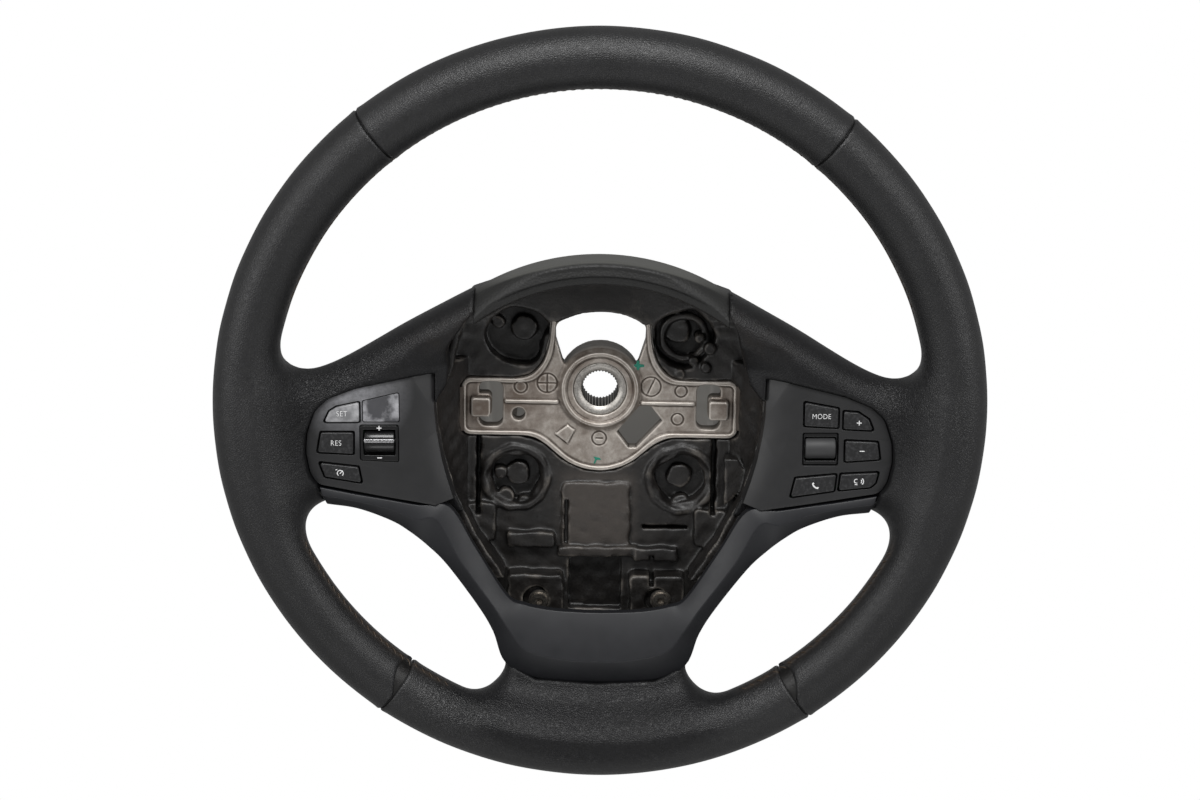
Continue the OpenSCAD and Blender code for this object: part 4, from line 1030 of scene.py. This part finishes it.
def bezelMesh():
    dish = rim["dish"]
    rows = []
    for i, (inner, crease, outer) in enumerate(bezelStations):
        p, q, r = (np.array(v, float) for v in (inner, crease, outer))
        n = (r - p) / np.linalg.norm(r - p)
        zi, zk = dish + bezelHeights["inner"][i], dish + bezelHeights["crease"][i]
        zo, zb = dish - 7, dish + bezelHeights["back"][i]
        w = bezelWall
        flat = [(p, dish - 13), (p, zi), (q, zk), (r, zo), (r, zb), (r - w * n, zb), (r - w * n, zo - w),
                (q, zk - 1.3 * w), (p + w * n, zi - w), (p + w * n, dish - 13)]
        rows.append([[v[0], v[1], z] for v, z in flat])
    half = np.array(rows)
    whole = np.vstack([half, half[-2::-1] * (-1, 1, 1)])
    dense = smoothRow(whole.reshape(len(whole), -1), 6).reshape(-1, 10, 3)
    m, n = dense.shape[:2]
    faces = [(i * n + j, i * n + (j + 1) % n, (i + 1) * n + (j + 1) % n, (i + 1) * n + j)
             for i in range(m - 1) for j in range(n)]
    faces += [tuple(range(n)), tuple((m - 1) * n + j for j in range(n))]
    mesh = bpy.data.meshes.new("bezel")
    mesh.from_pydata(toRow(dense.reshape(-1, 3)).tolist(), [], faces)
    return edited(mesh, softenEdges)


bezelLeg = {"x": 28.0, "width": 8.0, "length": 14.0, "eye": 1.6, "low": 8.0, "hole": 2.3, "head": 5.4}


def bezelLegs():
    parts = []
    low, (sx, sy) = bezelLeg["low"], screwPlace
    for side in (-1, 1):
        eye = [circleLoop((side * sx, sy), bezelLeg["head"]), circleLoop((side * sx, sy), bezelLeg["hole"])]
        parts.append(plateMesh("eye", eye, low, low + bezelLeg["eye"], 0.2))
        foot = boxLoop((side * (bezelLeg["x"] + 4), sy - 9.5), (4, 4.5))
        parts.append(plateMesh("foot", [foot], low, low + bezelLeg["eye"], 0.2))
        shank = boxLoop((side * (bezelLeg["x"] + 4), sy - 13.1), (4, 0.9))
        parts.append(plateMesh("shank", [shank], low, rim["dish"] - 4, 0.2))
    return parts


bezelShell = bezelMesh()
bezelShell.transform(Matrix.Rotation(roll, 4, "Y"))
finishPiece(combined([bezelShell] + bezelLegs()), "bezel_shell", materials["bezel"], "wheel",
            ["lower_bezel"], 40)

# Switch pods

folds = [((93.4, 8), math.radians(2.6)), ((91.9, -16.6), math.radians(18.4))]
foldSlope = math.tan(math.radians(26))


# The pod's face bends down along two lines that meet at a corner, and the third line joins them
def foldLines(turn):
    lines = [(rolled([point], turn)[0], (math.cos(lean + turn), -math.sin(lean + turn)))
             for point, lean in folds]
    (corner, second), first = lines[1], lines[0][1]
    return lines + [(corner, (first[0] - second[0], first[1] - second[1]))]


def foldedFace(lines):
    def reshape(points):
        beyond = [(p[0] - points[:, 0]) * n[0] + (p[1] - points[:, 1]) * n[1] for p, n in lines[:2]]
        points[:, 2] -= np.maximum(np.minimum(*beyond), 0) * foldSlope
        return points
    return reshape


def mirrored(mesh):
    def flip(work):
        for vertex in work.verts:
            vertex.co.x = -vertex.co.x
        bmesh.ops.reverse_faces(work, faces=work.faces)
    return edited(mesh, flip)


def inset(points, amount):
    out = []
    count = len(points)
    area = sum(points[i - 1][0] * points[i][1] - points[i][0] * points[i - 1][1] for i in range(count))
    turn = 1 if area > 0 else -1
    for i in range(count):
        p = Vector(points[i])
        a = (p - Vector(points[i - 1])).normalized()
        b = (Vector(points[(i + 1) % count]) - p).normalized()
        na, nb = Vector((-a.y, a.x)) * turn, Vector((-b.y, b.x)) * turn
        out.append(tuple(p + (na + nb) * amount / (1 + na.dot(nb))))
    return out


def podHousing(side, keys, extraHoles):
    turn = roll if side == "right" else -roll
    outer = rolled(roundedLoop(podOutline, 10.0, 6, podCorners), turn)
    holes = [roundedLoop(inset(keyOutlines[k], -0.25), 1.1) for k in keys] + extraHoles
    lines = foldLines(turn)
    face = plateMesh("face", [outer] + holes, faceZ - 2.2, faceZ, 0.3, foldedFace(lines), lines)
    ring = [outer, rolled(inset(roundedLoop(podOutline, 10.0, 6, podCorners), 2.0), turn)]
    wall = plateMesh("wall", ring, faceZ - podDepth, faceZ - 1.0, 0.1, foldedFace(lines), lines)
    whole = combined([face, wall])
    if side == "left":
        whole = mirrored(whole)
    finishPiece(whole, side + "_pod_shell", materials["pod"], "wheel", [side + "_pod_housing"],
                30)


barrelHalf = 7.5
podHousing("left", ["set", "blank", "resume", "cruise", "surround"], [])
podHousing("right", ["mode", "volume_up", "volume_down", "phone", "voice"],
           [roundedLoop(boxLoop((barrelX, rollerY), (8.9, 8.5)), 1.0)])


def crowned(outline, height):
    xs, ys = [p[0] for p in outline], [p[1] for p in outline]
    cx, cy = (max(xs) + min(xs)) / 2, (max(ys) + min(ys)) / 2
    hx, hy = (max(xs) - min(xs)) / 2, (max(ys) - min(ys)) / 2

    def reshape(points):
        u, v = (points[:, 0] - cx) / hx, (points[:, 1] - cy) / hy
        top = points[:, 2] > faceZ
        points[:, 2] += top * height * np.clip(1 - u ** 2, 0, 1) * np.clip(1 - v ** 2, 0, 1)
        return points
    return reshape


def keyCap(name, material, left):
    outline = inset(keyOutlines[name], keyGap)
    cap = plateMesh(name, [roundedLoop(outline, 0.9)], faceZ - 4, faceZ + keyProud, 0.55,
                    crowned(outline, 0.15))
    if left:
        cap = mirrored(cap)
    nodeName = name + "_button"
    finishPiece(cap, nodeName + "_cap", material, nodeName, [nodeName], 35)


leftKeys = ["set", "resume", "cruise"]
rightKeys = ["mode", "volume_up", "volume_down", "phone", "voice"]
for name in leftKeys + rightKeys:
    keyCap(name, materials["wornKey" if name == "set" else "key"], name in leftKeys)

blank = plateMesh("blank", [roundedLoop(inset(keyOutlines["blank"], 0.15), 0.9)], faceZ - 1.2,
                  faceZ - 0.25, 0.2)
finishPiece(mirrored(blank), "blank_insert", materials["wornBlank"], "wheel", ["left_blank_insert"],
            35)
frameHole = roundedLoop(boxLoop((barrelX, rockerY), (barrelHalf + 0.4, 6.6)), 0.6)
surround = plateMesh("surround", [roundedLoop(inset(keyOutlines["surround"], 0.15), 1.0), frameHole],
                     faceZ - 1.4, faceZ + 0.25, 0.3)
finishPiece(mirrored(surround), "rocker_frame", materials["gloss"], "wheel", ["left_rocker_surround"],
            35)


def barrelProfile(radius, half, pinRadius, pinLength):
    edge = [(pinRadius, half + pinLength), (pinRadius, half), (radius - 0.8, half),
            (radius - 0.2, half - 0.3), (radius, half - 0.9)]
    return [(r, -h) for r, h in edge] + edge[::-1]


rocker = latheMesh("rocker", barrelProfile(6.2, barrelHalf, 1.5, 1.9), (-barrelX, rockerY, barrelZ), "x")
finishPiece(rocker, "rocker_barrel", materials["gloss"], "speed_rocker", ["speed_rocker"], 40)
bar = plateMesh("bar", [roundedLoop(boxLoop((-barrelX, rockerY + 1.45), (barrelHalf - 0.1, 0.85)), 0.3)],
                barrelZ + 5.0, barrelZ + 6.5, 0.3)
finishPiece(bar, "rocker_bar", materials["chrome"], "speed_rocker", [], 40)

roller = latheMesh("roller", barrelProfile(5.5, barrelHalf, 1.5, 0.8), (barrelX, rollerY, barrelZ), "x")
finishPiece(roller, "roller_barrel", materials["roller"], "menu_roller", ["menu_roller"], 40)
cradleHole = roundedLoop(boxLoop((barrelX, rollerY), (barrelHalf + 0.25, 6.1)), 0.8)
cradle = plateMesh("cradle", [roundedLoop(boxLoop((barrelX, rollerY), (8.5, 8.1)), 1.0), cradleHole],
                   faceZ - 5.5, faceZ - 1.0, 0.4)
finishPiece(cradle, "roller_frame", materials["gloss"], "roller_cradle", ["roller_cradle"],
            40)

# Legends

printTop = faceZ + keyProud + 0.16


def legend(text, centre, size, body, left, z=printTop):
    curve = bpy.data.curves.new("text", "FONT")
    curve.body = text
    curve.size = size
    curve.align_x, curve.align_y = "CENTER", "CENTER"
    curve.extrude = 0.04
    curve.offset = -0.012 * size
    curve.space_character = 1.08

    def place(points):
        points[:, 0] = points[:, 0] * 0.86 + (-centre[0] if left else centre[0])
        points[:, 1] += centre[1]
        return points
    mesh = curveToMesh(curve, z, place)
    finishPiece(mesh, "legend_" + body, materials["print"], body, [], 30)


def strokePiece(name, lines, centre, width, body, left, z=printTop):
    curve = bpy.data.curves.new(name, "CURVE")
    curve.dimensions = "3D"
    curve.bevel_depth = width / 2
    curve.bevel_resolution = 2
    curve.use_fill_caps = True
    addLines(curve, lines, False)

    def place(points):
        points[:, 0] += -centre[0] if left else centre[0]
        points[:, 1] += centre[1]
        points[:, 2] = z + (points[:, 2] - z) * 0.25
        return points
    mesh = curveToMesh(curve, z, place)
    finishPiece(mesh, name, materials["print"], body, [], 40)


def arcLine(centre, radius, first, last, steps=14):
    return [(centre[0] + radius * math.cos(math.radians(first + (last - first) * k / steps)),
             centre[1] + radius * math.sin(math.radians(first + (last - first) * k / steps)))
            for k in range(steps + 1)]


legend("SET", (127.2, -2.2), 3.9, "set_button", True)
legend("RES", (130.4, -17.2), 3.9, "resume_button", True)
legend("MODE", (109.2, -3.6), 3.7, "mode_button", False)
plusLines = [[(-1.2, 0), (1.2, 0)], [(0, -1.2), (0, 1.2)]]
minusLines = [[(-1.2, 0), (1.2, 0)]]
strokePiece("plus_right", plusLines, (127.8, -6.8), 0.45, "volume_up_button", False)
strokePiece("minus_right", minusLines, (129.5, -21.3), 0.45, "volume_down_button", False)
strokePiece("plus_left", plusLines, (109, -9.6), 0.5, "wheel", True, faceZ + 0.3)
strokePiece("minus_left", minusLines, (109, -24.9), 0.5, "wheel", True, faceZ + 0.3)
strokePiece("phone_icon", [arcLine((2.2, 2.2), 3.4, 195, 255), [(-1.2, 1.3), (-0.4, 1.7)],
                           [(1.3, -1.2), (1.7, -0.4)]],
            (106.5, -39.4), 0.75, "phone_button", False)
strokePiece("voice_icon", [arcLine((-1.2, 0.2), 1.0, 60, 300), arcLine((0.4, 0), 1.1, -50, 50),
                           arcLine((0.4, 0), 2.0, -50, 50), [(-2.0, -1.6), (-0.6, -1.6)]],
            (128.2, -36.9), 0.42, "voice_button", False)
strokePiece("cruise_icon", [arcLine((0, 0), 1.5, -50, 230), [(0, 0), (1.3, 1.3)], [(-2.3, 1.7), (-1.5, 1.9)],
                            [(-0.2, -0.3), (0.2, 0.3)]],
            (128.6, -32.6), 0.42, "cruise_button", True)

# Rear cover

coverPlan = [(-40, 69), (0, 69), (34, 65), (66, 52), (82, 38), (88, 14), (81, -54), (69, -76),
             (56, -100), (53, -108), (45, -133.4), (-40, -133.4)]
coverDeep = [(-50, 30), (50, 30), (44, -52), (20, -70), (-20, -70), (-44, -52)]
coverWall = 2.2
underCone = {"radius": 114.6, "slope": 0.277}  # keeps the cover's top out of sight behind the arch


def coverField(x, y, z):
    side = np.abs(x)
    plan = polygonField(side, y, coverPlan)
    deepPlan = polygonField(x, y, coverDeep) - 12

    def solid(thin):
        upper = slabField(plan + thin, z, -17.2 + thin, 30 + 9 * (thin > 0), 3.0)
        deep = slabField(deepPlan + thin, z, -36 + thin, 0, 4.0)
        return joined(upper, deep, 4.0)
    shell = np.maximum(solid(0.0), -solid(coverWall))
    top = np.where(side > 57.7, 7.6, np.where(y > 39.7, 11.6, 21.6))
    shell = np.maximum(shell, z - top)
    opening = np.minimum(discField(x, y, (0, 0), 24), discField(x, y, (0, 26), 24))
    opening = np.minimum(opening, boxField(x, y, (0, 13), (24, 13)))
    shell = within(shell, -np.maximum(opening, z + 22), 0.8)
    underArch = np.hypot(x, y - arch["centreY"]) - underCone["radius"] + underCone["slope"] * (21 - z)
    return np.maximum(shell, np.where(y > 12, underArch, -9.0))


# The cover's inside faces, which get the painted pale colour and glow
def litInsideShare(x, y, z):
    plan = polygonField(np.abs(x), y, coverPlan)
    deepPlan = polygonField(x, y, coverDeep) - 12
    return (np.maximum(plan + 1.2, -16.2 - z) < 0) | (np.maximum(deepPlan + 1.2, -35 - z) < 0)


fieldPiece("back_shell", coverField, (-88.6, -133.6, -36), (88.6, 68.6, 21.7), 1.1,
           materials["cover"], ["rear_cover"], {"inside": litInsideShare}, False)

# Green paint dabs on the casting

paintDabs = {
    "paint_dab_boss": ((19.2, 11.9),
                       [(-3, 0.3), (-1, 0.9), (-0.6, 2.8), (0.5, 2.7), (0.7, 1), (3, 0.6), (3.1, -0.4),
                        (0.9, -0.8), (0.3, -2.2), (-0.7, -2), (-0.8, -0.7), (-2.7, -0.6)]),
    "paint_dab_low": ((-1.8, -37.2),
                      [(-1.6, 1.6), (1.8, 0.8), (2.2, -0.2), (0.2, -0.1), (-0.8, -2.2), (-1.5, -2),
                       (-0.7, 0.2)]),
}
for name, ((cx, cy), shape) in paintDabs.items():
    dab = plateMesh(name, [[(cx + x, cy + y) for x, y in shape]], -0.3, 0.4, 0.12)
    finishPiece(dab, name, materials["paint"], "wheel", [], 40)

# Thread of the closing seam

stitch = {"pitch": 4.4, "length": 3.2, "thread": 0.34, "lean": 12.0}


def stitchPiece(name, first, last):
    radius = rim["radius"]
    verts, faces = [], []
    count = int(math.radians(last - first) * (radius - rim["grip"]) / stitch["pitch"])
    around, along = 5, 6
    for k in range(count):
        angle = math.radians(first) + (k + 0.5) * math.radians(last - first) / count
        for i in range(along + 1):
            t = i / along * 2 - 1
            lean = math.radians(stitch["lean"]) + t * stitch["length"] / 2 / rim["grip"]
            turn = angle + 0.35 * t * stitch["pitch"] / radius
            lift = rim["grip"] - 0.3 + 0.1 * (1 - t ** 2) - 0.5 * t ** 8
            for j in range(around):
                phi = 2 * math.pi * j / around
                tube = lift + stitch["thread"] * math.sin(phi)
                slide = stitch["thread"] * math.cos(phi) / radius
                ring = radius - tube * math.cos(lean)
                verts.append((ring * math.cos(turn + slide), ring * math.sin(turn + slide),
                              rim["dish"] + tube * math.sin(lean)))
        base = k * (along + 1) * around
        for i in range(along):
            for j in range(around):
                a, b = base + i * around + j, base + i * around + (j + 1) % around
                faces.append((a, b, b + around, a + around))
    mesh = bpy.data.meshes.new(name)
    mesh.from_pydata(toRow(verts).tolist(), [], faces)
    finishPiece(mesh, name, materials["thread"], "wheel", [], None, True)


stitchPiece("stitches_top", 20, 160)
stitchPiece("stitches_left", 205, 243)
stitchPiece("stitches_right", 297, 335)

# The frame's own pieces that stay, each with the material of its slot

slotMaterials = {"steel": "steel", "circuit_board": "board", "silicone": "mat", "key_plastic": "key",
                 "gloss_black": "gloss", "pod_plastic": "pod", "worn_plastic": "wornBlank",
                 "bezel_plastic": "bezel", "cover_plastic": "cover", "magnesium": "magnesium",
                 "pu_foam": "foam", "leather": "leather"}
for part in frame["record"]["subparts"]:
    kept = frame["nodes"][part["node"]]
    for place in kept.material_slots:
        place.material = materials[slotMaterials[part["material_slot"]]]

# Camera, light and background

camera = bpy.data.objects.new("camera", bpy.data.cameras.new("camera"))
bpy.context.scene.collection.objects.link(camera)
bpy.context.scene.camera = camera
viewAngle = math.radians(15.5)  # the camera looks down on the wheel from twelve o'clock by this much
viewDistance = 1.5
focalPixels, imageWidth = 3055, 1200
rimCentre = Vector((0, -rim["dish"] / 1000, 0))
camera.location = rimCentre + Vector((0, -math.cos(viewAngle), math.sin(viewAngle))) * viewDistance
camera.rotation_euler = (math.pi / 2 - viewAngle, 0, 0)
camera.data.sensor_width = 36
camera.data.lens = focalPixels / imageWidth * camera.data.sensor_width
camera.data.shift_y = 12 / imageWidth


def areaLight(name, place, size, power):
    lamp = bpy.data.lights.new(name, "AREA")
    lamp.shape = "RECTANGLE"
    lamp.size, lamp.size_y = size
    lamp.energy = power
    holder = bpy.data.objects.new(name, lamp)
    bpy.context.scene.collection.objects.link(holder)
    holder.location = place
    holder.rotation_euler = (-Vector(place)).to_track_quat("-Z", "Y").to_euler()


fillLight = 0.2  # strength of the world on the object
glossyShare = 0.2  # how much of the white background its gloss mirrors


def worldLight():
    world = bpy.data.worlds.new("studio")
    bpy.context.scene.world = world
    world.use_nodes = True
    tree = world.node_tree
    tree.nodes.clear()
    path = node(tree, "LightPath").node.outputs
    camera, through = path["Is Camera Ray"], path["Is Transmission Ray"]
    seen = node(tree, "Math", {0: camera, 1: through}, operation="MAXIMUM")
    glossy = node(tree, "Math", {0: path["Is Glossy Ray"], 1: glossyShare}, operation="MULTIPLY")
    seen = node(tree, "Math", {0: seen, 1: glossy}, operation="MAXIMUM")
    strength = node(tree, "MapRange", {"Value": seen, "To Min": fillLight})
    back = node(tree, "Background", {"Color": (1, 1, 1, 1), "Strength": strength})
    node(tree, "OutputWorld", {"Surface": back})


worldLight()
softboxes = {  # place and size in metres, power in watts
    "softboxTop": ((0.0, -0.9, 1.2), (1.1, 0.5), 18),
    "softboxLeft": ((-1.3, -1.0, 0.3), (0.6, 1.2), 8),
    "softboxLow": ((0.0, -1.0, -1.1), (1.0, 0.5), 2.5),
    "softboxRight": ((1.3, -0.9, 0.4), (0.5, 1.2), 7),
}
for name, (place, size, power) in softboxes.items():
    areaLight(name, place, size, power)

bpy.context.scene.view_settings.view_transform = "Standard"
